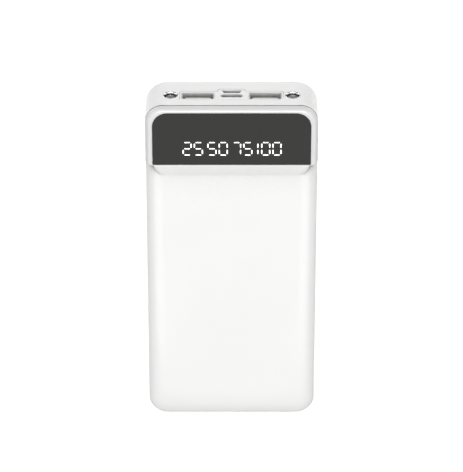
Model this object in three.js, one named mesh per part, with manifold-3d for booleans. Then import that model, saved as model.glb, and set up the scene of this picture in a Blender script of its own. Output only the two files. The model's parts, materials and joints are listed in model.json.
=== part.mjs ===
// A slim two-cell power bank: a white moulded case with a raised, dark display block on its front,
// two USB-A outputs, a USB-C and a micro-USB port and two torch lamps in its top end.
// Millimetres. +Z runs up the long axis to the ports, -Y is the front with the display, +X is the right.
// The origin is the middle of the bottom end.
import * as THREE from "three";
import { mergeVertices } from "three/addons/utils/BufferGeometryUtils.js";
import Module from "manifold-3d";

const wasm = await Module();
wasm.setup();

// ---- driving dimensions -------------------------------------------------------------------------

// The case
const WIDTH = 70;
const HEIGHT = 150;
const DEPTH = 26;
const WALL = 1.8; // sides, ends, back and lower front
const TOP_CORNER = 8.8; // outline corners, seen from the front
const BOTTOM_CORNER = 8.1;
const CORNER_TAPER = 3; // how much tighter the corners are at the front of the lower front
const BACK_ROUND = 4; // long edges of the back
const SIDE_ROUND_WIDE = 7.5; // long edges of the lower front: wider than deep
const SIDE_ROUND_DEEP = 5;
const FOOT_ROUND_TALL = 13; // bottom edge of the lower front: a long, shallow round
const FOOT_ROUND_DEEP = 5;

// The display block, which stands proud of the lower front
const BLOCK_STEP = 2.5; // how far it stands proud
const BLOCK_TALL = 26.3; // its flat face and top bevel
const BLOCK_BEVEL = 2.25;
const BLOCK_CORNER = 7.5; // upper corners of its front
const BLOCK_FOOT_CORNER = 0.8; // lower corners of its face
const BLOCK_ROOT_CORNER = 2.4; // lower corners behind the bevel
const BLOCK_WALL = 2.6;
const RAMP_TALL = 6.4; // slope from the block's face down to the lower front
const RAMP_CORNER = 6;
const RAMP_MARGIN = 3; // the slope stops this far inside each side
const LEDGE_SLOPE = 0.4; // fall of the block's underside at the flanks, per mm of depth

// The split between the two halves of the case
const SEAM_GAP = 0.45;
const SEAM_DEEP = 9.5; // behind the face, along the sides and the bottom
const SEAM_SHOULDER = 9; // above this far below the top, the split steps forward to the bevel
const LIP_THICK = 0.8;
const LIP_TALL = 1.6;
const LIP_CLEARANCE = 0.2;
const LIP_END_GAP = 1; // the lip stops this far below the shoulder

// General clearances
const FIT = 0.1; // between pieces that rest on or in each other
const SLIP = 0.15; // round pieces that drop into or move in an opening
const EMBED = 0.3; // how far a boss or rib is sunk into its wall
const OVERCUT = 1; // how far a cutting body reaches past what it cuts

// The display
const LENS_MARGIN = 0.8; // from the edge of the block's flat face
const LENS_CORNER = 6;
const LENS_THICK = 1.0;
const LENS_SUNK = 0.15;
const LENS_ADHESIVE = 0.15;
const DIGIT_TALL = 6.2;
const DIGIT_WIDE = 3.72;
const DIGIT_PITCH = 4.55;
const ONE_PITCH = 3.2; // from a 1's bar to the middle of the next digit
const DIGIT_ABOVE_LENS = 7.15; // middle of the digits above the lens's lower edge
const LEVELS = [
  // the charge levels, each with the middle of its first digit
  { text: "25", x: -18.0 },
  { text: "50", x: -7.95 },
  { text: "75", x: 2.0 },
  { text: "100", x: 10.6 },
];
const STROKE = 0.5;
const STROKE_GAP = 0.4;
const STROKE_POINT = 0.9; // length of a stroke's pointed end, in half strokes
const GUIDE_THICK = 1.2;
const GUIDE_BORDER = 1.6;
const DISPLAY_BOARD_THICK = 1.0;
const DISPLAY_BOARD_INSET = 5; // from the case's sides
const DISPLAY_BOARD_TALL = 12;
const DISPLAY_BOARD_CORNER = 1;
const DISPLAY_LED_SIZE = [3.0, 0.7, 1.4];
const DISPLAY_LED_GAP = 0.2; // from the light guide
const DISPLAY_SCREW_INSET = 2.6; // from the board's ends
const DISPLAY_SCREW_LONG = 2.7;
const DISPLAY_BOSS_RADIUS = 2;

// The top end: distances ahead are in front of the middle of its depth
const PORT_GAP = 3.23; // between the openings of the USB-C port and the USB-A ports
const USB_A_AHEAD = 3.175;
const USB_C_AHEAD = 3.2;
const MICRO_GAP = 1.345; // between the openings of the USB-C and the micro-USB port
const LAMP_GAP = 0.75; // between the bezel and a lamp
const LAMP_AHEAD = 2.875;
const BEZEL_MARGIN = 0.8; // round the outputs, and behind the micro-USB port
const BEZEL_TAB_MARGIN = 2.2; // to the sides of the micro-USB port
const BEZEL_CORNER = 1.2;
const BEZEL_FLANGE = 0.5;
const BEZEL_FLANGE_THICK = 0.8;

// Connectors: the opening inside the metal shell
const USB_A_OPENING = [12.5, 5.12];
const USB_A_CORNER = 0.4;
const USB_A_LONG = 13.5;
const USB_A_TONGUE = [10.6, 1.84, 8.9];
const USB_A_TONGUE_GAP = 0.55; // between the tongue and the shell's front wall
const USB_C_OPENING = [8.34, 2.56];
const USB_C_LONG = 7.3;
const USB_C_TONGUE = [6.7, 0.7, 4.9];
const MICRO_OPENING = [6.9, 1.85];
const MICRO_LONG = 5.6;
const MICRO_TONGUE = [3.6, 0.6, 3.8];
const SHELL_THICK = 0.3;
const SHELL_SUNK = 0.45; // the shells' mouths below the top face
const TONGUE_SUNK = 0.35; // the tongues' ends below the shells' mouths

// The lamps
const LAMP_RADIUS = 3.0;
const LAMP_CUP_DEEP = 5.2;
const LAMP_COLLAR_TALL = 2; // the straight part of the cup below its rim
const LAMP_FLOOR_RADIUS = 1.7;
const LAMP_WALL = 0.35;
const LAMP_LED_SIZE = 3.0;
const LAMP_LED_TALL = 1.0;
const LAMP_DOME_RADIUS = 1.2; // the emitter's dome
const LAMP_DOME_TALL = 0.9;
const LAMP_LENS_MARGIN = 0.7; // from the cup's rim
const LAMP_LENS_SEAT = 1.8; // the lens's underside below the top face
const LAMP_LENS_EDGE = 0.4;
const LAMP_LENS_CROWN = 0.9;

// The main board
const BOARD_THICK = 1.2;
const BOARD_INSET = 4; // from the case's sides
const BOARD_TALL = 28.5;
const BOARD_TOP_GAP = 1.7; // below the top wall
const BOARD_SHOULDER = 8; // the board's corners are cut down this far to clear the lamps
const BOARD_LAMP_GAP = 1; // between the narrow top of the board and the lamps
const BOARD_BOSS_RADIUS = 2.2;
const BOARD_BOSS_INSET = 3.4; // from the board's edges
const SCREW_RADIUS = 0.9;
const SCREW_HEAD_RADIUS = 1.75;
const SCREW_HEAD_TALL = 1.2;
const SCREW_RECESS = [2.2, 0.5]; // each bar of the cross: length and width
const SCREW_LONG = 6;
const BOARD_PARTS = {
  // on the front of the board, below the ports: middle in x and above the board's lower edge
  controller_chip: { at: [0, 9.5], size: [6, 0.9, 6] },
  boost_inductor: { at: [-12, 8], size: [8, 3.2, 8] },
  charge_inductor: { at: [12, 8], size: [6.6, 2.8, 6.6] },
  transistor_left: { at: [-20.5, 9], size: [4.4, 1.1, 5] },
  transistor_right: { at: [20.5, 9], size: [4.4, 1.1, 5] },
  capacitor_left: { at: [-5.4, 5], size: [2, 1.6, 3.2] },
  capacitor_right: { at: [5.4, 5], size: [2, 1.6, 3.2] },
};

// The cells
const CELL_SIDE_GAP = 2.2; // from the lip inside the case's sides
const CELL_END_GAP = 3.5; // from the lip inside the bottom end
const CELL_HEAD_ROOM = 3.5; // below the main board
const CELL_FACE_GAP = 0.25; // from the case's front and back
const CELL_ROUND = 2.2;
const CELL_CORNER = 5;
const CELL_SEAL_TALL = 3;
const CELL_SEAL_THICK = 1;
const CELL_PAD = 0.5;
const PAD_SHARE = 0.8; // of the cells' width
const PAD_END_GAP = 10;
const INSULATOR_THICK = 0.3;
const PROTECTION_HALF_WIDE = 22;
const PROTECTION_DEEP = 7;
const PROTECTION_INSET = 0.6; // its back edge, and the insulator's, from the rear cell's back
const PROTECTION_THICK = 0.8;
const WIRE_RADIUS = 0.7;
const WIRE_X = 9;
const WIRE_BEND = 2.6;

// The power button, in the right side
const BUTTON_WIDE = 4;
const BUTTON_TALL = 11;
const BUTTON_SUNK = 0.1;
const BUTTON_FLANGE = 0.8;
const BUTTON_FLANGE_THICK = 0.8;
const BUTTON_TRAVEL = 0.3;
const SWITCH_SIZE = [3.5, 2.0, 4.7];
const SWITCH_INSET = 0.5; // from the board's edge
const PLUNGER_SIZE = [1.7, 1.0, 2.0];
const PLUNGER_OUT = 0.9;
const PLUNGER_TOUCH = 0.05; // the button's post rests this close to the plunger

// How finely round shapes are divided
const CORNER_STEPS = 6; // corners of the case's slices
const ROUND_STEPS = 6; // long edges of the case
const ARC_STEPS = 4; // corners of small outlines
const CIRCLE_STEPS = 18;
const DOME_STEPS = 5;
const WIRE_STEPS = [12, 8]; // along and round

// ---- positions worked out from them -------------------------------------------------------------

const HALF_WIDE = WIDTH / 2;
const FACE = -DEPTH / 2; // the display block's flat face
const BACK = DEPTH / 2;
const LOWER_FACE = FACE + BLOCK_STEP;
const TOP_SEAM = FACE + BLOCK_BEVEL;
const SIDE_SEAM = FACE + SEAM_DEEP;
const SHOULDER_Z = HEIGHT - SEAM_SHOULDER;
const BLOCK_BOTTOM = HEIGHT - BLOCK_TALL;
const RAMP_BOTTOM = BLOCK_BOTTOM - RAMP_TALL;
const BLOCK_INSIDE = FACE + BLOCK_WALL;
const TOP_INSIDE = HEIGHT - WALL;
const BACK_INSIDE = BACK - WALL;

const LENS_HALF_WIDE = HALF_WIDE - BLOCK_BEVEL - LENS_MARGIN;
const LENS_TOP = HEIGHT - BLOCK_BEVEL - LENS_MARGIN / 2;
const LENS_BOTTOM = BLOCK_BOTTOM + LENS_MARGIN / 2;
const LENS_FRONT = FACE + LENS_SUNK;
const LENS_BACK = LENS_FRONT + LENS_THICK;
const DIGIT_Z = LENS_BOTTOM + DIGIT_ABOVE_LENS;

const USB_A_X = (USB_C_OPENING[0] + USB_A_OPENING[0]) / 2 + PORT_GAP;
const BEZEL_HALF_WIDE = USB_A_X + USB_A_OPENING[0] / 2 + SHELL_THICK + BEZEL_MARGIN;
const LAMP_X = BEZEL_HALF_WIDE + LAMP_GAP + LAMP_RADIUS;
const MOUTH_Z = HEIGHT - SHELL_SUNK;
const BOARD_WIDE = WIDTH - 2 * BOARD_INSET;
const DISPLAY_BOARD_WIDE = WIDTH - 2 * DISPLAY_BOARD_INSET;
const BOARD_TOP = TOP_INSIDE - BOARD_TOP_GAP;
const BOARD_BOTTOM = BOARD_TOP - BOARD_TALL;
const TOP_MIDDLE = (TOP_SEAM + BACK) / 2;
const USB_A_Y = TOP_MIDDLE - USB_A_AHEAD;
const USB_C_Y = TOP_MIDDLE - USB_C_AHEAD;
const MICRO_Y = USB_C_Y + (USB_C_OPENING[1] + MICRO_OPENING[1]) / 2 + MICRO_GAP;
const LAMP_Y = TOP_MIDDLE - LAMP_AHEAD;
const BOARD_FRONT = USB_A_Y + USB_A_OPENING[1] / 2 + SHELL_THICK + FIT;
const BOARD_BACK = BOARD_FRONT + BOARD_THICK;
const BOARD_BOSS_X = BOARD_WIDE / 2 - BOARD_BOSS_INSET;
const BOARD_BOSS_Z = [
  BOARD_BOTTOM + BOARD_BOSS_INSET,
  BOARD_TOP - BOARD_SHOULDER - BOARD_BOSS_INSET,
];
const BUTTON_Z = (BOARD_BOSS_Z[0] + BOARD_BOSS_Z[1]) / 2;

// ---- solids -------------------------------------------------------------------------------------

// A closed three.js geometry as a solid that can be joined and cut.
function solid(geometry) {
  const bare = geometry.index ? geometry.toNonIndexed() : geometry.clone();
  bare.deleteAttribute("normal");
  bare.deleteAttribute("uv");
  const merged = mergeVertices(bare, 1e-4);
  return new wasm.Manifold(
    new wasm.Mesh({
      numProp: 3,
      vertProperties: merged.attributes.position.array,
      triVerts: new Uint32Array(merged.index.array),
    }),
  );
}

// A solid back as a three.js geometry.
function geometryOf(made) {
  const data = made.getMesh();
  const geometry = new THREE.BufferGeometry();
  geometry.setAttribute("position", new THREE.BufferAttribute(data.vertProperties, 3));
  geometry.setIndex(new THREE.BufferAttribute(data.triVerts, 1));
  geometry.computeVertexNormals();
  return geometry;
}

const join = (...solids) => solids.reduce((all, next) => all.add(next));
const cut = (body, ...tools) => tools.reduce((left, tool) => left.subtract(tool), body);

// A block between two x, two y and two z values.
function block([x0, x1], [y0, y1], [z0, z1]) {
  const box = new THREE.BoxGeometry(x1 - x0, y1 - y0, z1 - z0);
  return solid(box.translate((x0 + x1) / 2, (y0 + y1) / 2, (z0 + z1) / 2));
}

// A block given by its middle and its size.
function blockAt([x, y, z], [wide, deep, tall]) {
  return solid(new THREE.BoxGeometry(wide, deep, tall).translate(x, y, z));
}

// Axes that a flat outline is turned onto, then pushed along: outline x, outline y, push direction.
const X = new THREE.Vector3(1, 0, 0);
const Y = new THREE.Vector3(0, 1, 0);
const Z = new THREE.Vector3(0, 0, 1);
const FACING = {
  z: new THREE.Matrix4().makeBasis(X, Y, Z),
  x: new THREE.Matrix4().makeBasis(Y, Z, X),
  y: new THREE.Matrix4().makeBasis(Z, X, Y),
};

// An outline pushed along an axis from one value to another. For "z" the outline is drawn in x and
// y, for "x" in y and z, for "y" in z and x.
function push(outline, axis, from, to) {
  const geometry = new THREE.ExtrudeGeometry(outline, {
    depth: to - from,
    bevelEnabled: false,
    curveSegments: ARC_STEPS,
  });
  return solid(geometry.translate(0, 0, from).applyMatrix4(FACING[axis]));
}

// A rectangle with round corners between two pairs of values.
function roundRectangle([u0, u1], [v0, v1], radius) {
  const r = Math.min(radius, (u1 - u0) / 2 - 0.001, (v1 - v0) / 2 - 0.001);
  const outline = new THREE.Shape();
  outline.moveTo(u0 + r, v0);
  outline.lineTo(u1 - r, v0);
  outline.absarc(u1 - r, v0 + r, r, -Math.PI / 2, 0, false);
  outline.lineTo(u1, v1 - r);
  outline.absarc(u1 - r, v1 - r, r, 0, Math.PI / 2, false);
  outline.lineTo(u0 + r, v1);
  outline.absarc(u0 + r, v1 - r, r, Math.PI / 2, Math.PI, false);
  outline.lineTo(u0, v0 + r);
  outline.absarc(u0 + r, v0 + r, r, Math.PI, Math.PI * 1.5, false);
  return outline;
}

function polygon(points) {
  return new THREE.Shape(points.map(([u, v]) => new THREE.Vector2(u, v)));
}

// A profile of [radius, height] points spun about the vertical line through (x, y).
function spin(points, x, y) {
  const profile = points.map(([radius, height]) => new THREE.Vector2(radius, height));
  const turned = new THREE.LatheGeometry(profile, CIRCLE_STEPS);
  return solid(turned.rotateX(Math.PI / 2).translate(x, y, 0));
}

// A round bar along the y axis.
function barAlongY(x, z, radius, y0, y1) {
  const bar = new THREE.CylinderGeometry(radius, radius, y1 - y0, CIRCLE_STEPS);
  return solid(bar.translate(x, (y0 + y1) / 2, z));
}

// ---- the case's form ----------------------------------------------------------------------------

// The ring of a slice through the case at one depth: a rectangle with its own corner radii.
function ring({ y, half, bottom, top, bottomRadius, topRadius }) {
  const corners = [
    [half - bottomRadius, bottom + bottomRadius, bottomRadius, -90],
    [half - topRadius, top - topRadius, topRadius, 0],
    [topRadius - half, top - topRadius, topRadius, 90],
    [bottomRadius - half, bottom + bottomRadius, bottomRadius, 180],
  ];
  return corners.flatMap(([x, z, radius, start]) =>
    Array.from({ length: CORNER_STEPS + 1 }, (_, i) => {
      const turn = THREE.MathUtils.degToRad(start + (90 * i) / CORNER_STEPS);
      return new THREE.Vector3(x + radius * Math.cos(turn), y, z + radius * Math.sin(turn));
    }),
  );
}

// A closed body through slices given from the front to the back.
function loft(slices) {
  const rings = slices.map(ring);
  const count = rings[0].length;
  const last = rings.length - 1;
  const triangles = [];
  for (let i = 0; i < count; i++) {
    const next = (i + 1) % count;
    for (let k = 0; k < last; k++) {
      const [a, b] = [rings[k][i], rings[k][next]];
      const [c, d] = [rings[k + 1][next], rings[k + 1][i]];
      triangles.push(a, d, b, b, d, c);
    }
    if (i > 0 && next > 0) {
      triangles.push(rings[0][0], rings[0][i], rings[0][next]);
      triangles.push(rings[last][0], rings[last][next], rings[last][i]);
    }
  }
  return solid(new THREE.BufferGeometry().setFromPoints(triangles));
}

// Steps round a quarter turn: how far in from the side, and how deep, for a round of radius 1.
const quarter = (steps) =>
  Array.from({ length: steps + 1 }, (_, i) => {
    const turn = (Math.PI / 2) * (i / steps);
    return { inward: 1 - Math.sin(turn), deep: 1 - Math.cos(turn) };
  });

// The main body below and behind the display block, shrunk all round by skin for the hollow inside.
function mainForm(skin) {
  const sideWide = SIDE_ROUND_WIDE - skin;
  const sideDeep = SIDE_ROUND_DEEP - skin;
  const footDeep = FOOT_ROUND_DEEP - skin;
  const footTall = FOOT_ROUND_TALL - skin;
  const backRound = BACK_ROUND - skin;
  const half = HALF_WIDE - skin;
  const topCorner = TOP_CORNER - skin;
  const bottomCorner = BOTTOM_CORNER - skin;
  const top = HEIGHT - skin;
  const front = quarter(ROUND_STEPS).map(({ inward, deep }) => {
    const depth = sideDeep * deep;
    const footShare = Math.max(0, (footDeep - depth) / footDeep);
    const footInset = footTall * (1 - Math.sqrt(1 - footShare ** 2));
    return {
      y: LOWER_FACE + skin + depth,
      half: half - sideWide * inward,
      bottom: skin + footInset,
      top: top - sideWide * inward,
      bottomRadius: bottomCorner - CORNER_TAPER * inward,
      topRadius: topCorner - CORNER_TAPER * inward,
    };
  });
  const back = quarter(ROUND_STEPS - 2)
    .reverse()
    .map(({ inward, deep }) => ({
      y: BACK - skin - backRound * deep,
      half: half - backRound * inward,
      bottom: skin + backRound * inward,
      top: top - backRound * inward,
      bottomRadius: bottomCorner - backRound * inward,
      topRadius: topCorner - backRound * inward,
    }));
  return loft([...front, ...back]);
}

// The display block: bevelled at the top and the sides, with an underside that falls backwards.
function blockForm() {
  const slice = (inset, depth, lowerCorner, upperCorner) => ({
    y: FACE + depth,
    half: HALF_WIDE - inset,
    bottom: BLOCK_BOTTOM - LEDGE_SLOPE * depth,
    top: HEIGHT - inset,
    bottomRadius: lowerCorner,
    topRadius: upperCorner,
  });
  const cornerAt = (deep) => BLOCK_FOOT_CORNER + (BLOCK_ROOT_CORNER - BLOCK_FOOT_CORNER) * deep;
  const bevel = quarter(ROUND_STEPS - 1).map(({ inward, deep }) =>
    slice(
      BLOCK_BEVEL * inward,
      BLOCK_BEVEL * deep,
      cornerAt(deep),
      BLOCK_CORNER - (BLOCK_BEVEL * inward) / 2,
    ),
  );
  const root = slice(0, BLOCK_STEP + SIDE_ROUND_DEEP + WALL, BLOCK_ROOT_CORNER, TOP_CORNER);
  return loft([...bevel, root]);
}

// The slope from the block's face down to the lower front, with round lower corners.
function rampForm() {
  const half = HALF_WIDE - RAMP_MARGIN;
  const slice = (depth, bottom, lowerCorner) => ({
    y: FACE + depth,
    half,
    bottom,
    top: BLOCK_BOTTOM + RAMP_TALL,
    bottomRadius: lowerCorner,
    topRadius: BLOCK_FOOT_CORNER,
  });
  return loft([
    slice(0, BLOCK_BOTTOM, BLOCK_FOOT_CORNER),
    slice(BLOCK_STEP, RAMP_BOTTOM, RAMP_CORNER),
    slice(2 * BLOCK_STEP, RAMP_BOTTOM, RAMP_CORNER),
  ]);
}

// The hollow behind the display, which joins the main hollow.
function blockHollow() {
  const inside = HALF_WIDE - WALL;
  const outline = roundRectangle(
    [BLOCK_BOTTOM + WALL / 2, TOP_INSIDE],
    [-inside, inside],
    BLOCK_CORNER - WALL,
  );
  return push(outline, "y", BLOCK_INSIDE, LOWER_FACE + SIDE_ROUND_DEEP);
}

const outside = join(mainForm(0), blockForm(), rampForm());
const inside = join(mainForm(WALL), blockHollow());
const shell = outside.subtract(inside);

// The two regions that the split leaves, each half a gap back from it.
function frontRegion() {
  const far = 2 * HEIGHT;
  const halfGap = SEAM_GAP / 2;
  return join(
    block([-far, far], [-far, TOP_SEAM - halfGap], [-far, far]),
    block([-far, far], [-far, SIDE_SEAM - halfGap], [-far, SHOULDER_Z - halfGap]),
  );
}

function rearRegion() {
  const far = 2 * HEIGHT;
  const halfGap = SEAM_GAP / 2;
  return join(
    block([-far, far], [SIDE_SEAM + halfGap, far], [-far, far]),
    block([-far, far], [TOP_SEAM + halfGap, far], [SHOULDER_Z + halfGap, far]),
  );
}

// An upright slice of the case at a given inset from its outline, between two depths.
function caseSlice(inset, y0, y1) {
  const half = HALF_WIDE - inset;
  const outline = roundRectangle([inset, HEIGHT - inset], [-half, half], BOTTOM_CORNER - inset);
  return push(outline, "y", y0, y1);
}

// The lip on the rear half that reaches into the front half all round the side split.
function seamLip() {
  const back = SIDE_SEAM + LIP_TALL;
  const root = caseSlice(WALL - EMBED, SIDE_SEAM + SEAM_GAP / 2, back);
  const tongue = caseSlice(WALL + LIP_CLEARANCE, SIDE_SEAM - LIP_TALL, back);
  const opening = caseSlice(WALL + LIP_CLEARANCE + LIP_THICK, SIDE_SEAM - 2 * LIP_TALL, BACK);
  const ringBody = join(root, tongue).subtract(opening);
  const far = 2 * HEIGHT;
  const below = block([-far, far], [-far, far], [-far, SHOULDER_Z - LIP_END_GAP]);
  return ringBody.intersect(below);
}

// ---- the display --------------------------------------------------------------------------------

// The strokes of a digit, named by place. Each is a bar with slanted ends between two corners
// of the digit's frame, in digit halves.
const STROKES = {
  top: [[-1, 1], [1, 1]],
  middle: [[-1, 0], [1, 0]],
  bottom: [[-1, -1], [1, -1]],
  upperLeft: [[-1, 0], [-1, 1]],
  lowerLeft: [[-1, -1], [-1, 0]],
  upperRight: [[1, 0], [1, 1]],
  lowerRight: [[1, -1], [1, 0]],
  upperCentre: [[0, 0], [0, 1]],
  lowerCentre: [[0, -1], [0, 0]],
};

const DIGITS = {
  0: ["top", "bottom", "upperLeft", "lowerLeft", "upperRight", "lowerRight"],
  1: ["upperCentre", "lowerCentre"],
  2: ["top", "upperRight", "middle", "lowerLeft", "bottom"],
  5: ["top", "upperLeft", "middle", "lowerRight", "bottom"],
  7: ["top", "upperRight", "lowerRight"],
};

const digitPlaces = LEVELS.flatMap(({ text, x }) => {
  let at = x;
  return [...text].map((digit) => {
    const place = { digit, x: at };
    at += digit === "1" ? ONE_PITCH : DIGIT_PITCH;
    return place;
  });
});

// One stroke's outline in z and x, grown by a margin.
function strokeOutline(digitX, [[ax, az], [bx, bz]], margin) {
  const halfWide = (DIGIT_WIDE - STROKE) / 2;
  const halfTall = (DIGIT_TALL - STROKE) / 2;
  const start = new THREE.Vector2(DIGIT_Z + az * halfTall, digitX + ax * halfWide);
  const end = new THREE.Vector2(DIGIT_Z + bz * halfTall, digitX + bx * halfWide);
  const along = end.clone().sub(start).normalize();
  const across = new THREE.Vector2(-along.y, along.x);
  const tip = STROKE_GAP - margin;
  const half = STROKE / 2 + margin;
  const shoulder = tip + half * STROKE_POINT;
  const point = (from, run, side) =>
    from.clone().addScaledVector(along, run).addScaledVector(across, side);
  return new THREE.Shape([
    point(start, tip, 0),
    point(start, shoulder, -half),
    point(end, -shoulder, -half),
    point(end, -tip, 0),
    point(end, -shoulder, half),
    point(start, shoulder, half),
  ]);
}

// Every stroke of every digit as a bar between two depths.
function strokeBars(margin, y0, y1) {
  return digitPlaces.flatMap(({ digit, x }) =>
    DIGITS[digit].map((name) => push(strokeOutline(x, STROKES[name], margin), "y", y0, y1)),
  );
}

const digitSpan = {
  left: digitPlaces[0].x - DIGIT_WIDE / 2,
  right: digitPlaces[digitPlaces.length - 1].x + DIGIT_WIDE / 2,
};
const guideX = [digitSpan.left - GUIDE_BORDER, digitSpan.right + GUIDE_BORDER];
const guideZ = [
  DIGIT_Z - DIGIT_TALL / 2 - GUIDE_BORDER,
  DIGIT_Z + DIGIT_TALL / 2 + GUIDE_BORDER,
];
const GUIDE_FRONT = LENS_BACK + LENS_ADHESIVE;
const GUIDE_BACK = GUIDE_FRONT + GUIDE_THICK;
const DISPLAY_BOARD_FRONT = GUIDE_BACK + DISPLAY_LED_GAP + DISPLAY_LED_SIZE[1] + FIT;
const DISPLAY_BOARD_BACK = DISPLAY_BOARD_FRONT + DISPLAY_BOARD_THICK;
const DISPLAY_SCREW_X = DISPLAY_BOARD_WIDE / 2 - DISPLAY_SCREW_INSET;

// The lens's outline: round at the top, square at the bottom.
function lensOutline(margin) {
  const half = LENS_HALF_WIDE + margin;
  const [low, high] = [LENS_BOTTOM - margin, LENS_TOP + margin];
  const r = LENS_CORNER + margin;
  const outline = new THREE.Shape();
  outline.moveTo(low, -half);
  outline.lineTo(high - r, -half);
  outline.absarc(high - r, r - half, r, -Math.PI / 2, 0, false);
  outline.lineTo(high, half - r);
  outline.absarc(high - r, half - r, r, 0, Math.PI / 2, false);
  outline.lineTo(low, half);
  return outline;
}

function displayLens() {
  const plate = push(lensOutline(0), "y", LENS_FRONT, LENS_BACK);
  return cut(plate, ...strokeBars(FIT, LENS_FRONT - OVERCUT, LENS_BACK + OVERCUT));
}

function digitLightGuide() {
  const plate = block(guideX, [GUIDE_FRONT, GUIDE_BACK], guideZ);
  return join(plate, ...strokeBars(0, LENS_FRONT + FIT, GUIDE_FRONT + EMBED));
}

function displayBoard() {
  const half = DISPLAY_BOARD_WIDE / 2;
  const outline = roundRectangle(
    [DIGIT_Z - DISPLAY_BOARD_TALL / 2, DIGIT_Z + DISPLAY_BOARD_TALL / 2],
    [-half, half],
    DISPLAY_BOARD_CORNER,
  );
  const plate = push(outline, "y", DISPLAY_BOARD_FRONT, DISPLAY_BOARD_BACK);
  const holes = [-1, 1].map((side) =>
    barAlongY(side * DISPLAY_SCREW_X, DIGIT_Z, SCREW_RADIUS + SLIP, -DEPTH, DEPTH),
  );
  return cut(plate, ...holes);
}

// ---- the case halves ----------------------------------------------------------------------------

function frontCover() {
  const [bossFront, bossBack] = [BLOCK_INSIDE - EMBED, DISPLAY_BOARD_FRONT - FIT];
  const bosses = [-1, 1].map((side) =>
    barAlongY(side * DISPLAY_SCREW_X, DIGIT_Z, DISPLAY_BOSS_RADIUS, bossFront, bossBack),
  );
  const [holeFront, holeBack] = [GUIDE_FRONT + EMBED, bossBack + OVERCUT];
  const screwHoles = [-1, 1].map((side) =>
    barAlongY(side * DISPLAY_SCREW_X, DIGIT_Z, SCREW_RADIUS + FIT, holeFront, holeBack),
  );
  const pocket = push(lensOutline(SLIP), "y", FACE - OVERCUT, GUIDE_FRONT);
  const window = block(
    [guideX[0] - SLIP, guideX[1] + SLIP],
    [FACE - OVERCUT, BLOCK_INSIDE + OVERCUT],
    [guideZ[0] - SLIP, guideZ[1] + SLIP],
  );
  const half = join(shell.intersect(frontRegion()), ...bosses);
  return cut(half, pocket, window, ...screwHoles);
}

// The bezel as a slab between two heights, grown by a margin: a bar round the outputs, with a tab
// at the back round the micro-USB port.
function bezelSlab(margin, z0, z1) {
  const grown = BEZEL_MARGIN + SHELL_THICK + margin;
  const half = BEZEL_HALF_WIDE + margin;
  const halfDeep = USB_A_OPENING[1] / 2 + grown;
  const tabHalf = MICRO_OPENING[0] / 2 + BEZEL_TAB_MARGIN + margin;
  const tabRear = MICRO_Y + MICRO_OPENING[1] / 2 + grown;
  const bar = roundRectangle([-half, half], [USB_A_Y - halfDeep, USB_A_Y + halfDeep], BEZEL_CORNER);
  const tab = roundRectangle([-tabHalf, tabHalf], [USB_A_Y, tabRear], BEZEL_CORNER);
  return join(push(bar, "z", z0, z1), push(tab, "z", z0, z1));
}

function rearHousing() {
  const bosses = boardScrewPlaces.map(([x, z]) =>
    barAlongY(x, z, BOARD_BOSS_RADIUS, BOARD_BACK + FIT, BACK_INSIDE + EMBED),
  );
  const screwHoles = boardScrewPlaces.map(([x, z]) =>
    barAlongY(x, z, SCREW_RADIUS + FIT, BOARD_BACK - OVERCUT, BOARD_FRONT + SCREW_LONG + EMBED),
  );
  const lampHoles = [-1, 1].map((side) =>
    spin(
      [
        [0, TOP_INSIDE - LAMP_CUP_DEEP],
        [LAMP_RADIUS + SLIP, TOP_INSIDE - LAMP_CUP_DEEP],
        [LAMP_RADIUS + SLIP, HEIGHT + OVERCUT],
        [0, HEIGHT + OVERCUT],
      ],
      side * LAMP_X,
      LAMP_Y,
    ),
  );
  const bezelHole = bezelSlab(SLIP, TOP_INSIDE - OVERCUT, HEIGHT + OVERCUT);
  const buttonHole = push(buttonOutline(SLIP), "x", HALF_WIDE - 2 * WALL, HALF_WIDE + OVERCUT);
  const half = join(shell.intersect(rearRegion()), seamLip(), ...bosses);
  return cut(half, ...screwHoles, ...lampHoles, bezelHole, buttonHole);
}

// ---- the connectors -----------------------------------------------------------------------------

// The outline of each connector's opening in x and y, grown by a margin.
function usbAOutline(x, margin) {
  const [wide, deep] = USB_A_OPENING.map((size) => size / 2 + margin);
  const [xs, ys] = [[x - wide, x + wide], [USB_A_Y - deep, USB_A_Y + deep]];
  return roundRectangle(xs, ys, USB_A_CORNER + margin);
}

function usbCOutline(margin) {
  const [wide, deep] = USB_C_OPENING.map((size) => size / 2 + margin);
  return roundRectangle([-wide, wide], [USB_C_Y - deep, USB_C_Y + deep], deep);
}

// The micro-USB opening narrows towards the front.
function microOutline(margin) {
  const [wide, deep] = MICRO_OPENING.map((size) => size / 2 + margin);
  const narrow = wide - MICRO_OPENING[1] / 2;
  return polygon([
    [-narrow, MICRO_Y - deep],
    [narrow, MICRO_Y - deep],
    [wide, MICRO_Y],
    [wide, MICRO_Y + deep],
    [-wide, MICRO_Y + deep],
    [-wide, MICRO_Y],
  ]);
}

// A folded metal shell: a tube of the given outline, open at both ends.
function connectorShell(outline, long) {
  const outer = push(outline(SHELL_THICK), "z", MOUTH_Z - long, MOUTH_Z);
  const bore = push(outline(0), "z", MOUTH_Z - long - OVERCUT, MOUTH_Z + OVERCUT);
  return outer.subtract(bore);
}

// The moulded insert: a plug that fills the back of the shell, and the tongue that stands on it.
function connectorInsert(outline, long, [wide, deep, tall], x, y) {
  const plugTop = MOUTH_Z - TONGUE_SUNK - tall;
  const plug = push(outline(-FIT), "z", MOUTH_Z - long, plugTop);
  const tongue = block(
    [x - wide / 2, x + wide / 2],
    [y - deep / 2, y + deep / 2],
    [plugTop - EMBED, MOUTH_Z - TONGUE_SUNK],
  );
  return join(plug, tongue);
}

const USB_A_TONGUE_Y = USB_A_Y - USB_A_OPENING[1] / 2 + USB_A_TONGUE_GAP + USB_A_TONGUE[1] / 2;

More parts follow.
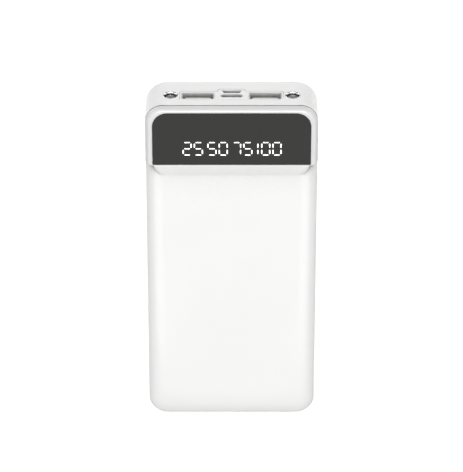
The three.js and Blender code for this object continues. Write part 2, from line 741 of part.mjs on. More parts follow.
const CONNECTORS = [
  {
    name: "usb_a_left",
    outline: (margin) => usbAOutline(-USB_A_X, margin),
    long: USB_A_LONG,
    tongue: USB_A_TONGUE,
    x: -USB_A_X,
    y: USB_A_TONGUE_Y,
  },
  {
    name: "usb_a_right",
    outline: (margin) => usbAOutline(USB_A_X, margin),
    long: USB_A_LONG,
    tongue: USB_A_TONGUE,
    x: USB_A_X,
    y: USB_A_TONGUE_Y,
  },
  {
    name: "usb_c",
    outline: usbCOutline,
    long: USB_C_LONG,
    tongue: USB_C_TONGUE,
    x: 0,
    y: USB_C_Y,
  },
  {
    name: "micro_usb",
    outline: microOutline,
    long: MICRO_LONG,
    tongue: MICRO_TONGUE,
    x: 0,
    y: MICRO_Y,
  },
];

function portBezel() {
  const plate = bezelSlab(0, TOP_INSIDE - FIT, HEIGHT);
  const flangeTop = TOP_INSIDE - FIT;
  const flangeBottom = flangeTop - BEZEL_FLANGE_THICK;
  const flange = bezelSlab(BEZEL_FLANGE, flangeBottom, flangeTop);
  const holes = CONNECTORS.map(({ outline }) =>
    push(outline(SHELL_THICK + SLIP), "z", flangeBottom - OVERCUT, HEIGHT + OVERCUT),
  );
  return cut(join(plate, flange), ...holes);
}

// ---- the lamps ----------------------------------------------------------------------------------

// The bright cup in each lamp hole: a thin rim, then a wall that narrows to the emitter.
function lampReflector(x) {
  const floor = HEIGHT - LAMP_CUP_DEEP;
  const collar = HEIGHT - LAMP_COLLAR_TALL;
  return spin(
    [
      [LAMP_FLOOR_RADIUS, floor],
      [LAMP_FLOOR_RADIUS + LAMP_WALL, floor],
      [LAMP_RADIUS, collar],
      [LAMP_RADIUS, HEIGHT - FIT],
      [LAMP_RADIUS - LAMP_WALL, HEIGHT - FIT],
      [LAMP_RADIUS - 1.5 * LAMP_WALL, collar],
      [LAMP_FLOOR_RADIUS, floor],
    ],
    x,
    LAMP_Y,
  );
}

// The profile of a dome from its edge up to its crown.
const domeProfile = (radius, edge, tall) =>
  Array.from({ length: DOME_STEPS + 1 }, (_, i) => {
    const turn = (Math.PI / 2) * (i / DOME_STEPS);
    return [radius * Math.cos(turn), edge + tall * Math.sin(turn)];
  });

// The emitter: a flat square package below the cup.
function lampLed(x) {
  const top = HEIGHT - LAMP_CUP_DEEP - FIT;
  const base = blockAt(
    [x, LAMP_Y, top - LAMP_LED_TALL / 2],
    [LAMP_LED_SIZE, LAMP_LED_SIZE, LAMP_LED_TALL],
  );
  const foot = [[0, top - EMBED], [LAMP_DOME_RADIUS, top - EMBED]];
  return join(base, spin([...foot, ...domeProfile(LAMP_DOME_RADIUS, top, LAMP_DOME_TALL)], x, LAMP_Y));
}

// The clear domed lens that closes the cup a little below its rim.
function lampLens(x) {
  const seat = HEIGHT - LAMP_LENS_SEAT;
  const radius = LAMP_RADIUS - LAMP_LENS_MARGIN;
  const dome = domeProfile(radius, seat + LAMP_LENS_EDGE, LAMP_LENS_CROWN);
  return spin([[0, seat], [radius, seat], ...dome], x, LAMP_Y);
}

// ---- the main board -----------------------------------------------------------------------------

const boardScrewPlaces = BOARD_BOSS_Z.flatMap((z) => [-1, 1].map((side) => [side * BOARD_BOSS_X, z]));

// The board's outline in z and x: cut-down corners under the lamps, and a notch for the micro-USB.
function mainBoard() {
  const half = BOARD_WIDE / 2;
  const shoulder = BOARD_TOP - BOARD_SHOULDER;
  const neck = LAMP_X - LAMP_RADIUS - BOARD_LAMP_GAP;
  const notch = MICRO_OPENING[0] / 2 + SHELL_THICK + EMBED;
  const notchBottom = MOUTH_Z - MICRO_LONG - EMBED;
  const outline = polygon([
    [BOARD_BOTTOM, -half],
    [shoulder, -half],
    [shoulder, -neck],
    [BOARD_TOP, -neck],
    [BOARD_TOP, -notch],
    [notchBottom, -notch],
    [notchBottom, notch],
    [BOARD_TOP, notch],
    [BOARD_TOP, neck],
    [shoulder, neck],
    [shoulder, half],
    [BOARD_BOTTOM, half],
  ]);
  const plate = push(outline, "y", BOARD_FRONT, BOARD_BACK);
  const holes = boardScrewPlaces.map(([x, z]) =>
    barAlongY(x, z, SCREW_RADIUS + SLIP, BOARD_FRONT - OVERCUT, BOARD_BACK + OVERCUT),
  );
  return cut(plate, ...holes);
}

// A pan-head screw with a cross recess, its head towards the front or towards the back.
function screw(x, z, headAt, long, towards) {
  const headEnd = headAt - towards * SCREW_HEAD_TALL;
  const low = Math.min(headAt, headEnd);
  const shank = [headAt - towards * EMBED, headAt + towards * long].sort((a, b) => a - b);
  const body = join(
    barAlongY(x, z, SCREW_HEAD_RADIUS, low, low + SCREW_HEAD_TALL),
    barAlongY(x, z, SCREW_RADIUS, ...shank),
  );
  const [recessLong, recessWide] = SCREW_RECESS;
  const recess = [
    blockAt([x, headEnd, z], [recessLong, SCREW_HEAD_TALL, recessWide]),
    blockAt([x, headEnd, z], [recessWide, SCREW_HEAD_TALL, recessLong]),
  ];
  return cut(body, ...recess);
}

// ---- the button and its switch ------------------------------------------------------------------

const SWITCH_Y = BOARD_BACK + FIT + SWITCH_SIZE[1] / 2;
const SWITCH_END = BOARD_WIDE / 2 - SWITCH_INSET;
const PLUNGER_TIP = SWITCH_END + PLUNGER_OUT;

// The button's outline in y and z, grown by a margin.
function buttonOutline(margin) {
  const wide = BUTTON_WIDE / 2 + margin;
  const tall = BUTTON_TALL / 2 + margin;
  return roundRectangle([SWITCH_Y - wide, SWITCH_Y + wide], [BUTTON_Z - tall, BUTTON_Z + tall], wide);
}

function powerButton() {
  const flangeEnd = HALF_WIDE - WALL - FIT;
  const cap = push(buttonOutline(0), "x", flangeEnd - EMBED, HALF_WIDE - BUTTON_SUNK);
  const flange = push(buttonOutline(BUTTON_FLANGE), "x", flangeEnd - BUTTON_FLANGE_THICK, flangeEnd);
  const postStart = PLUNGER_TIP + PLUNGER_TOUCH;
  const post = block(
    [postStart, flangeEnd - EMBED],
    [SWITCH_Y - PLUNGER_SIZE[1], SWITCH_Y + PLUNGER_SIZE[1]],
    [BUTTON_Z - PLUNGER_SIZE[2], BUTTON_Z + PLUNGER_SIZE[2]],
  );
  return join(cap, flange, post);
}

// The plunger's well is deeper than the plunger by its travel and some room to spare.
function switchBody() {
  const body = blockAt([SWITCH_END - SWITCH_SIZE[0] / 2, SWITCH_Y, BUTTON_Z], SWITCH_SIZE);
  const wellDeep = PLUNGER_SIZE[0] - PLUNGER_OUT + BUTTON_TRAVEL + SLIP;
  const well = block(
    [SWITCH_END - wellDeep, SWITCH_END + OVERCUT],
    [SWITCH_Y - PLUNGER_SIZE[1] / 2 - FIT, SWITCH_Y + PLUNGER_SIZE[1] / 2 + FIT],
    [BUTTON_Z - PLUNGER_SIZE[2] / 2 - FIT, BUTTON_Z + PLUNGER_SIZE[2] / 2 + FIT],
  );
  return body.subtract(well);
}

function switchPlunger() {
  return blockAt([PLUNGER_TIP - PLUNGER_SIZE[0] / 2, SWITCH_Y, BUTTON_Z], PLUNGER_SIZE);
}

// ---- the cells ----------------------------------------------------------------------------------

const LIP_INSET = WALL + LIP_CLEARANCE + LIP_THICK;
const CELL_WIDE = WIDTH - 2 * (LIP_INSET + CELL_SIDE_GAP);
const CELL_BOTTOM = LIP_INSET + CELL_END_GAP;
const CELL_TOP = BOARD_BOTTOM - CELL_HEAD_ROOM;

// How deep behind its front the hollow's round leaves room up to the given distance from its end.
function roundDepth(deep, long, distance) {
  const share = Math.max(0, 1 - distance / long);
  return deep * (1 - Math.sqrt(1 - share ** 2));
}

// The front cell starts just behind the rounds at the sides and the foot of the lower front.
const CELL_SETBACK = Math.max(
  roundDepth(SIDE_ROUND_DEEP - WALL, SIDE_ROUND_WIDE - WALL, HALF_WIDE - WALL - CELL_WIDE / 2),
  roundDepth(FOOT_ROUND_DEEP - WALL, FOOT_ROUND_TALL - WALL, CELL_BOTTOM - WALL),
);
const FRONT_CELL_FRONT = LOWER_FACE + WALL + CELL_SETBACK + CELL_FACE_GAP;
const REAR_CELL_BACK = BACK_INSIDE - CELL_FACE_GAP;
const CELL_THICK = (REAR_CELL_BACK - FRONT_CELL_FRONT - CELL_PAD) / 2 - FIT;
const REAR_CELL_FRONT = REAR_CELL_BACK - CELL_THICK;
const FRONT_CELL_BACK = FRONT_CELL_FRONT + CELL_THICK;

// A pouch cell: a block with round long edges and corners, and a thin sealed edge at its top.
function pouchCell(front) {
  const half = CELL_WIDE / 2;
  const back = front + CELL_THICK;
  const middle = (front + back) / 2;
  const sealHalf = half - CELL_CORNER;
  const bodyTop = CELL_TOP - CELL_SEAL_TALL;
  const fromTop = roundRectangle([-half, half], [front, back], CELL_ROUND);
  const fromFront = roundRectangle([CELL_BOTTOM, bodyTop], [-half, half], CELL_CORNER);
  const body = push(fromTop, "z", CELL_BOTTOM, bodyTop).intersect(
    push(fromFront, "y", front, back),
  );
  const seal = block(
    [-sealHalf, sealHalf],
    [middle - CELL_SEAL_THICK / 2, middle + CELL_SEAL_THICK / 2],
    [bodyTop - EMBED, CELL_TOP],
  );
  return join(body, seal);
}

const PROTECTION_Z = CELL_TOP + INSULATOR_THICK + 2 * FIT;
const PROTECTION_BACK = REAR_CELL_BACK - PROTECTION_INSET;
const WIRE_Y = BOARD_BACK + WIRE_BEND;

// A wire from the protection board up to the back of the main board.
function cellWire(x) {
  const start = PROTECTION_Z + PROTECTION_THICK + FIT;
  const end = BOARD_BACK + FIT + WIRE_RADIUS / 2;
  const route = new THREE.CatmullRomCurve3([
    new THREE.Vector3(x, WIRE_Y, start),
    new THREE.Vector3(x, WIRE_Y, start + WIRE_BEND / 2),
    new THREE.Vector3(x, WIRE_Y - WIRE_BEND / 8, BOARD_BOTTOM + WIRE_BEND),
    new THREE.Vector3(x, (WIRE_Y + end) / 2, BOARD_BOTTOM + 1.8 * WIRE_BEND),
    new THREE.Vector3(x, end, BOARD_BOTTOM + 2 * WIRE_BEND),
  ]);
  const section = new THREE.Shape().absarc(0, 0, WIRE_RADIUS, 0, 2 * Math.PI, false);
  const [steps, curveSegments] = WIRE_STEPS;
  const options = { steps, curveSegments, extrudePath: route };
  return solid(new THREE.ExtrudeGeometry(section, options));
}

// ---- materials ----------------------------------------------------------------------------------

function finish(color, roughness, metalness = 0) {
  return new THREE.MeshStandardMaterial({ color, roughness, metalness });
}

const WHITE_PLASTIC = [0xf4f4f2, 0.32];
const BEZEL_WHITE = [0xf1f1ef, 0.42];
const DARK_GLOSS = [0x2b2a28, 0.12];
const DIGIT_WHITE = [0xf8f8f4, 0.5];
const BOARD_GREEN = [0x1c5a36, 0.5];
const STEEL = [0xb9bcc0, 0.3, 1];
const CHROME = [0xd8dadc, 0.1, 1];
const BLACK_PLASTIC = [0x16171a, 0.5];
const CLEAR = [0xe8eef2, 0.05];
const PHOSPHOR = [0xf2d94e, 0.4];
const CELL_FOIL = [0xc4c7cb, 0.35, 0.8];
const FOAM = [0x2a2c2e, 0.9];
const PAPER = [0xd9cfae, 0.8];
const FERRITE = [0x4b4c50, 0.7];
const RED_WIRE = [0xc02a22, 0.45];
const BLACK_WIRE = [0x1a1a1a, 0.45];
const TAN_CAPACITOR = [0xa88a5e, 0.5];

// ---- the assembly -------------------------------------------------------------------------------

const powerBank = new THREE.Group();

function add(name, made, look) {
  const mesh = new THREE.Mesh(geometryOf(made), finish(...look));
  mesh.name = name;
  powerBank.add(mesh);
}

add("rear_housing", rearHousing(), WHITE_PLASTIC);
add("front_cover", frontCover(), WHITE_PLASTIC);
add("port_bezel", portBezel(), BEZEL_WHITE);

add("display_lens", displayLens(), DARK_GLOSS);
add("digit_light_guide", digitLightGuide(), DIGIT_WHITE);
add("display_board", displayBoard(), BOARD_GREEN);
LEVELS.forEach(({ text, x }, i) => {
  const middle = x + ((text.length - 1) * DIGIT_PITCH) / 2;
  const y = GUIDE_BACK + DISPLAY_LED_GAP + DISPLAY_LED_SIZE[1] / 2;
  add("display_led_" + (i + 1), blockAt([middle, y, DIGIT_Z], DISPLAY_LED_SIZE), PHOSPHOR);
});
for (const [side, word] of [[-1, "left"], [1, "right"]]) {
  const place = side * DISPLAY_SCREW_X;
  const made = screw(place, DIGIT_Z, DISPLAY_BOARD_BACK + FIT, DISPLAY_SCREW_LONG, -1);
  add("display_screw_" + word, made, STEEL);
}

add("main_board", mainBoard(), BOARD_GREEN);
boardScrewPlaces.forEach(([x, z], i) => {
  add("board_screw_" + (i + 1), screw(x, z, BOARD_FRONT - FIT, SCREW_LONG, 1), STEEL);
});

for (const { name, outline, long, tongue, x, y } of CONNECTORS) {
  add(name + "_shell", connectorShell(outline, long), STEEL);
  add(name + "_tongue", connectorInsert(outline, long, tongue, x, y), BLACK_PLASTIC);
}

for (const [side, word] of [[-1, "left"], [1, "right"]]) {
  const x = side * LAMP_X;
  add("lamp_reflector_" + word, lampReflector(x), CHROME);
  add("lamp_lens_" + word, lampLens(x), CLEAR);
  add("lamp_led_" + word, lampLed(x), PHOSPHOR);
}

add("power_button", powerButton(), WHITE_PLASTIC);
add("switch_body", switchBody(), BLACK_PLASTIC);
add("switch_plunger", switchPlunger(), BLACK_PLASTIC);

const BOARD_PART_LOOKS = { inductor: FERRITE, capacitor: TAN_CAPACITOR };
for (const [name, { at: [x, up], size }] of Object.entries(BOARD_PARTS)) {
  const kind = Object.keys(BOARD_PART_LOOKS).find((word) => name.includes(word));
  const place = [x, BOARD_FRONT - FIT - size[1] / 2, BOARD_BOTTOM + up];
  add(name, blockAt(place, size), BOARD_PART_LOOKS[kind] ?? BLACK_PLASTIC);
}

add("cell_front", pouchCell(FRONT_CELL_FRONT), CELL_FOIL);
add("cell_rear", pouchCell(REAR_CELL_FRONT), CELL_FOIL);
const padSpan = [-1, 1].map((side) => (side * PAD_SHARE * CELL_WIDE) / 2);
const padHeights = [CELL_BOTTOM + PAD_END_GAP, CELL_TOP - PAD_END_GAP];
add(
  "cell_pad",
  block(padSpan, [FRONT_CELL_BACK + FIT, REAR_CELL_FRONT - FIT], padHeights),
  FOAM,
);
add(
  "cover_foam",
  block(padSpan, [LOWER_FACE + WALL + FIT, FRONT_CELL_FRONT - FIT], padHeights),
  FOAM,
);
add(
  "cell_insulator",
  block(
    [-CELL_WIDE / 2, CELL_WIDE / 2],
    [FRONT_CELL_FRONT, PROTECTION_BACK],
    [CELL_TOP + FIT, CELL_TOP + FIT + INSULATOR_THICK],
  ),
  PAPER,
);
add(
  "protection_board",
  block(
    [-PROTECTION_HALF_WIDE, PROTECTION_HALF_WIDE],
    [PROTECTION_BACK - PROTECTION_DEEP, PROTECTION_BACK],
    [PROTECTION_Z, PROTECTION_Z + PROTECTION_THICK],
  ),
  BOARD_GREEN,
);
add("wire_positive", cellWire(-WIRE_X), RED_WIRE);
add("wire_negative", cellWire(WIRE_X), BLACK_WIRE);

export default powerBank;
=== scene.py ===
"""The power bank's looks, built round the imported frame. Metres, +Z up, the display faces -Y."""

import json
import math

import bmesh
import bpy
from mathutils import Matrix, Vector


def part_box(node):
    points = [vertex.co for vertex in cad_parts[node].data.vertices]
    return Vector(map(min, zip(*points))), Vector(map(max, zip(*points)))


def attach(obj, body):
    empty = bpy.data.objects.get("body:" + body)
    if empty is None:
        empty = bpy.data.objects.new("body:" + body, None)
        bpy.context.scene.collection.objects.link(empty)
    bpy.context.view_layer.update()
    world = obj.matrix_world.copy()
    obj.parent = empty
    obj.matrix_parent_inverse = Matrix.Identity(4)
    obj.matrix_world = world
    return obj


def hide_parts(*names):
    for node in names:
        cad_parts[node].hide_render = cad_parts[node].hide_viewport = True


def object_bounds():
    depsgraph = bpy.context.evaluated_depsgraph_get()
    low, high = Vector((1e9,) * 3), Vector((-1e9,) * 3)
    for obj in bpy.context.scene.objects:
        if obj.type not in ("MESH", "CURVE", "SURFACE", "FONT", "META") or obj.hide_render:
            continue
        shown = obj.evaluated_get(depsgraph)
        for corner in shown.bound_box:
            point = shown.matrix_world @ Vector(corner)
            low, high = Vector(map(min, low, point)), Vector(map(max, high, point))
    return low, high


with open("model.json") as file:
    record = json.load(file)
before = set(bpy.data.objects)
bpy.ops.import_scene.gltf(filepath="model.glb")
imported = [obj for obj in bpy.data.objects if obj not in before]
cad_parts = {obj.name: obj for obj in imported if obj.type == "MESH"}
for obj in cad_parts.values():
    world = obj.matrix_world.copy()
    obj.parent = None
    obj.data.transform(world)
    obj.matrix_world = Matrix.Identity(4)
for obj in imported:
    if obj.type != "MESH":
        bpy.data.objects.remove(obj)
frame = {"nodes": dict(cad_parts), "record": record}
cad_low, cad_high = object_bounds()

# ---- sizes --------------------------------------------------------------------------------------

MM = 0.001

WIDTH = cad_high.x - cad_low.x
HEIGHT = cad_high.z
FACE = cad_low.y  # the display block's flat face
BACK = cad_high.y
HALF_WIDE = WIDTH / 2

# The case's own sizes, as the CAD has them.
WALL = 1.8 * MM
TOP_CORNER = 8.8 * MM
BOTTOM_CORNER = 8.1 * MM
CORNER_TAPER = 3 * MM
BACK_ROUND = 4 * MM
SIDE_ROUND_WIDE = 7.5 * MM
SIDE_ROUND_DEEP = 5 * MM
FOOT_ROUND_TALL = 13 * MM
FOOT_ROUND_DEEP = 5 * MM

BLOCK_STEP = 2.5 * MM
BLOCK_TALL = 26.3 * MM
BLOCK_BEVEL = 2.25 * MM
BLOCK_CORNER = 7.5 * MM
BLOCK_WALL = 2.6 * MM
BLOCK_FOOT_CORNER = 0.8 * MM
RAMP_TALL = 6.4 * MM
RAMP_CORNER = 6 * MM
RAMP_MARGIN = 3 * MM
LEDGE_SLOPE = 0.4

SEAM_GAP = 0.45 * MM
SEAM_DEEP = 9.5 * MM
SEAM_SHOULDER = 9 * MM
SEAM_SOFT = 0.08 * MM  # the small round along both edges of the split

SLIP = 0.15 * MM  # clearance between pieces that fit into each other
HAIR = 0.001 * MM  # keeps an outline's two arcs from meeting in a point
SHELL_THICK = 0.3 * MM
LENS_CORNER = 6 * MM
LENS_EDGE = 0.12 * MM

LOWER_FACE = FACE + BLOCK_STEP
TOP_SEAM = FACE + BLOCK_BEVEL
SIDE_SEAM = FACE + SEAM_DEEP
SHOULDER_Z = HEIGHT - SEAM_SHOULDER
BLOCK_BOTTOM = HEIGHT - BLOCK_TALL
RAMP_BOTTOM = BLOCK_BOTTOM - RAMP_TALL
TOP_INSIDE = HEIGHT - WALL

CORNER_STEPS = 20
ROUND_STEPS = 20
SPIN_STEPS = 64
RAMP_STEPS = 10
SOFT_STEPS = 4

# ---- mesh making --------------------------------------------------------------------------------

# Where an outline's two numbers and the position along the axis go.
PLACE = {
    "x": lambda u, v, w: (w, u, v),
    "y": lambda u, v, w: (u, w, v),
    "z": lambda u, v, w: (u, v, w),
}


def through(name, axis, sections):
    """A closed body through outlines of equal length, given as (position along the axis, outline)."""
    mesh = bpy.data.meshes.new(name)
    shape = bmesh.new()
    rings = [
        [shape.verts.new(PLACE[axis](u, v, position)) for u, v in outline]
        for position, outline in sections
    ]
    count = len(rings[0])
    for near, far in zip(rings, rings[1:]):
        for i in range(count):
            j = (i + 1) % count
            shape.faces.new((near[i], near[j], far[j], far[i]))
    shape.faces.new(rings[0])
    shape.faces.new(rings[-1])
    bmesh.ops.recalc_face_normals(shape, faces=shape.faces)
    shape.to_mesh(mesh)
    shape.free()
    piece = bpy.data.objects.new(name, mesh)
    bpy.context.scene.collection.objects.link(piece)
    return piece


def arc(u, v, radius, start, end, steps=CORNER_STEPS):
    """Points on an arc, its ends included, with the angles in degrees."""
    turns = [math.radians(start + (end - start) * i / steps) for i in range(steps + 1)]
    return [(u + radius * math.cos(a), v + radius * math.sin(a)) for a in turns]


def round_rectangle(u0, u1, v0, v1, low, high=None, steps=CORNER_STEPS):
    """A rectangle with one radius at its lower corners and one at its upper corners."""
    high = low if high is None else high
    return (
        arc(u1 - low, v0 + low, low, -90, 0, steps)
        + arc(u1 - high, v1 - high, high, 0, 90, steps)
        + arc(u0 + high, v1 - high, high, 90, 180, steps)
        + arc(u0 + low, v0 + low, low, 180, 270, steps)
    )


def box_outline(u0, u1, v0, v1):
    return [(u0, v0), (u1, v0), (u1, v1), (u0, v1)]


def block(name, low, high):
    """A box used to cut or to keep part of another body."""
    outline = box_outline(low[0], high[0], low[1], high[1])
    return through(name, "z", [(low[2], outline), (high[2], outline)])


def spin(name, profile, x, y, steps=SPIN_STEPS):
    """A profile of (radius, height) points, from axis to axis, spun about the vertical through (x, y)."""
    shape = bmesh.new()
    rings = []
    for radius, z in profile:
        if radius < HAIR:
            rings.append([shape.verts.new((x, y, z))])
            continue
        turns = [2 * math.pi * i / steps for i in range(steps)]
        points = [(x + radius * math.cos(a), y + radius * math.sin(a), z) for a in turns]
        rings.append([shape.verts.new(p) for p in points])
    pairs = list(zip(rings, rings[1:]))
    if len(rings[0]) > 1:
        pairs.append((rings[-1], rings[0]))
    for near, far in pairs:
        for i in range(steps):
            j = (i + 1) % steps
            corners = [near[i % len(near)], near[j % len(near)], far[j % len(far)], far[i % len(far)]]
            shape.faces.new(list(dict.fromkeys(corners)))
    bmesh.ops.recalc_face_normals(shape, faces=shape.faces)
    mesh = bpy.data.meshes.new(name)
    shape.to_mesh(mesh)
    shape.free()
    piece = bpy.data.objects.new(name, mesh)
    bpy.context.scene.collection.objects.link(piece)
    return piece


def settle(piece):
    """Applies a piece's modifiers to its mesh."""
    shown = piece.evaluated_get(bpy.context.evaluated_depsgraph_get())
    made = bpy.data.meshes.new_from_object(shown)
    piece.modifiers.clear()
    piece.data = made


def combine(piece, operation, *tools):
    """Joins, cuts or keeps the common part of a piece and each tool in turn; the tools are used up."""
    for tool in tools:
        step = piece.modifiers.new(operation, "BOOLEAN")
        step.operation = operation
        step.solver = "MANIFOLD"
        step.object = tool
    settle(piece)
    for tool in tools:
        bpy.data.objects.remove(tool)
    return piece


def merged(name, pieces):
    """Several bodies as one object, such as a tool with many teeth."""
    shape = bmesh.new()
    for piece in pieces:
        shape.from_mesh(piece.data)
    mesh = bpy.data.meshes.new(name)
    shape.to_mesh(mesh)
    shape.free()
    for piece in pieces:
        bpy.data.objects.remove(piece)
    whole = bpy.data.objects.new(name, mesh)
    bpy.context.scene.collection.objects.link(whole)
    return whole


def smooth(piece, angle=28):
    """Smooth shading that keeps edges sharper than the angle, with flat faces staying flat."""
    piece.data.shade_smooth()
    piece.data.set_sharp_from_angle(angle=math.radians(angle))
    weighted = piece.modifiers.new("flat_faces_first", "WEIGHTED_NORMAL")
    weighted.keep_sharp = True
    weighted.weight = 80
    return piece


def present(piece, body, slot, material, *nodes):
    """Puts a finished piece on its body in place of CAD nodes."""
    piece.data.materials.clear()
    piece.data.materials.append(material)
    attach(piece, body)
    if nodes:
        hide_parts(*nodes)
    return piece


# ---- materials ----------------------------------------------------------------------------------


class Paint:
    """A material's nodes, with short ways to add and link them."""

    def __init__(self, name):
        self.material = bpy.data.materials.new(name)
        self.material.use_nodes = True
        self.nodes = self.material.node_tree.nodes
        self.links = self.material.node_tree.links
        self.shader = self.nodes["Principled BSDF"]
        self.place = self.nodes.new("ShaderNodeTexCoord").outputs["Object"]

    def put(self, **values):
        """Sets sockets of the shader, named with underscores for spaces."""
        for socket, value in values.items():
            self.shader.inputs[socket.replace("_", " ")].default_value = value

    def feed(self, socket, value):
        """Gives a node's socket another node's output, or else a number or colour."""
        if isinstance(value, bpy.types.NodeSocket):
            self.links.new(value, socket)
        else:
            socket.default_value = value

    def link(self, output, socket):
        self.links.new(output, self.shader.inputs[socket])

    def noise(self, scale, detail=3.0, rough=0.5, stretch=None):
        source = self.place
        if stretch:
            mapping = self.nodes.new("ShaderNodeMapping")
            mapping.inputs["Scale"].default_value = stretch
            self.links.new(source, mapping.inputs["Vector"])
            source = mapping.outputs["Vector"]
        node = self.nodes.new("ShaderNodeTexNoise")
        node.inputs["Scale"].default_value = scale
        node.inputs["Detail"].default_value = detail
        node.inputs["Roughness"].default_value = rough
        self.links.new(source, node.inputs["Vector"])
        return node.outputs["Fac"]

    def ramp(self, value, stops):
        """Maps a value onto colours or greys, given as (position, colour) stops."""
        node = self.nodes.new("ShaderNodeValToRGB")
        colours = node.color_ramp.elements
        while len(colours) < len(stops):
            colours.new(0.5)
        for element, (position, colour) in zip(colours, stops):
            element.position = position
            element.color = (*colour, 1)
        self.links.new(value, node.inputs["Fac"])
        return node.outputs["Color"]

    def spread(self, value, low, high):
        """Noise, which mostly lies between 0.3 and 0.7, spread between two limits."""
        node = self.nodes.new("ShaderNodeMapRange")
        node.inputs["From Min"].default_value = 0.3
        node.inputs["From Max"].default_value = 0.7
        node.inputs["To Min"].default_value = low
        node.inputs["To Max"].default_value = high
        self.links.new(value, node.inputs["Value"])
        return node.outputs["Result"]

    def math(self, operation, *values):
        node = self.nodes.new("ShaderNodeMath")
        node.operation = operation
        for socket, value in zip(node.inputs, values):
            self.feed(socket, value)
        return node.outputs["Value"]

    def multiply(self, colour, tint, amount=1):
        """A colour darkened by a tint, in the given amount."""
        node = self.nodes.new("ShaderNodeMix")
        node.data_type = "RGBA"
        node.blend_type = "MULTIPLY"
        self.feed(node.inputs["Factor"], amount)
        self.feed(node.inputs["A"], colour)
        self.feed(node.inputs["B"], tint)
        return node.outputs["Result"]

    def coordinates(self):
        """The place on the object, as separate X, Y and Z outputs."""
        node = self.nodes.new("ShaderNodeSeparateXYZ")
        self.links.new(self.place, node.inputs["Vector"])
        return node.outputs

    def between(self, value, low, high):
        """0 at the low value, 1 at the high one."""
        node = self.nodes.new("ShaderNodeMapRange")
        node.inputs["From Min"].default_value = low
        node.inputs["From Max"].default_value = high
        self.links.new(value, node.inputs["Value"])
        return node.outputs["Result"]

    def bump(self, height, distance, strength=1.0):
        node = self.nodes.new("ShaderNodeBump")
        node.inputs["Strength"].default_value = strength
        node.inputs["Distance"].default_value = distance
        self.links.new(height, node.inputs["Height"])
        self.links.new(node.outputs["Normal"], self.shader.inputs["Normal"])


def moulded(name, colour, roughness, grain=2600, depth=0.004 * MM, variation=0.015):
    """Injection-moulded plastic: a fine even grain, faint clouding and slightly uneven gloss."""
    paint = Paint(name)
    clouds = paint.noise(28, 4)
    darker = tuple(c * (1 - variation) for c in colour)
    paint.link(paint.ramp(clouds, [(0.35, darker), (0.65, colour)]), "Base Color")
    paint.link(paint.spread(paint.noise(90, 5), roughness * 0.88, roughness * 1.12), "Roughness")
    paint.bump(paint.noise(grain, 2), depth)
    return paint


# Painted shade: the case's white is darkened where other faces come near, as shade falls in hollows and
# under the display block.
PAINTED_SHADE_REACH = 16 * MM  # how near other faces must come for the painted shade in a hollow
PAINTED_SHADE_TONE = (0.2, 0.2, 0.2)
# Painted shade on the proud frame round the display: its white is dimmed to four fifths.
FRAME_PAINTED_SHADE = (0.8, 0.8, 0.805, 1)


def white_shell(name, shade_frame=False):
    """White gloss plastic, greyer where faces meet in a hollow, which is painted shade, and, when asked,
    greyer on the frame round the display, also painted shade."""
    paint = moulded(name, (0.895, 0.895, 0.888), 0.24)
    clouds = paint.shader.inputs["Base Color"].links[0].from_socket
    # Painted shade from an ambient-occlusion node, multiplied into the base colour.
    painted_shade_ao = paint.nodes.new("ShaderNodeAmbientOcclusion")
    painted_shade_ao.samples = 12
    painted_shade_ao.inputs["Distance"].default_value = PAINTED_SHADE_REACH
    shade = paint.ramp(painted_shade_ao.outputs["AO"], [(0.74, PAINTED_SHADE_TONE), (0.988, (1, 1, 1))])
    white = paint.multiply(clouds, shade)
    if shade_frame:
        # Painted shade: the proud surfaces in front of the seam and above the block's foot are made
        # greyer.
        place = paint.coordinates()
        soft = 0.2 * MM
        proud = paint.between(place["Y"], TOP_SEAM + 0.3 * MM, TOP_SEAM)
        above = paint.between(place["Z"], BLOCK_BOTTOM - soft, BLOCK_BOTTOM + soft)
        white = paint.multiply(white, FRAME_PAINTED_SHADE, paint.math("MULTIPLY", proud, above))
    paint.link(white, "Base Color")
    paint.put(IOR=1.5, Subsurface_Weight=0.06, Subsurface_Scale=0.8 * MM)
    paint.put(Subsurface_Radius=(1.0, 0.9, 0.8))
    return paint.material


def white_bezel():
    return moulded("white_bezel", (0.86, 0.86, 0.855), 0.45, grain=3400).material


def dark_gloss():
    """Smoked polished acrylic, with a faint ripple and the finest dust in its gloss."""
    paint = Paint("dark_gloss")
    smoke = [(0.3, (0.0055, 0.005, 0.0045)), (0.7, (0.007, 0.0065, 0.0055))]
    paint.link(paint.ramp(paint.noise(45, 3), smoke), "Base Color")
    paint.link(paint.spread(paint.noise(420, 6), 0.06, 0.12), "Roughness")
    paint.bump(paint.noise(60, 2), 0.004 * MM, 0.4)
    paint.put(IOR=1.49)
    return paint.material


def lit_digits():
    """Milky acrylic that glows evenly, a little less towards the strokes' grain."""
    paint = Paint("lit_digits")
    glow = paint.ramp(paint.noise(700, 3), [(0.3, (0.93, 0.93, 0.9)), (0.7, (1.0, 1.0, 0.98))])
    paint.link(glow, "Base Color")
    paint.link(glow, "Emission Color")
    paint.put(Emission_Strength=0.75, Roughness=0.4)
    return paint.material


def metal(name, colour, roughness, brushed=(1, 1, 1), grain=900, depth=0.003 * MM, shine=1.0):
    """Metal with a directional grain."""
    paint = Paint(name)
    lines = paint.noise(grain, 4, 0.6, stretch=brushed)
    duller = tuple(c * 0.9 for c in colour)
    paint.link(paint.ramp(lines, [(0.3, duller), (0.7, colour)]), "Base Color")
    paint.link(paint.spread(lines, roughness * 0.8, roughness * 1.25), "Roughness")
    paint.bump(lines, depth, 0.6)
    paint.put(Metallic=shine)
    return paint.material


def clear_lens():
    paint = Paint("clear_lens")
    paint.link(paint.spread(paint.noise(300, 3), 0.01, 0.04), "Roughness")
    paint.bump(paint.noise(160, 2), 0.003 * MM, 0.3)
    paint.put(Base_Color=(0.1, 0.1, 0.105, 1), Transmission_Weight=1.0, IOR=1.49)
    return paint.material


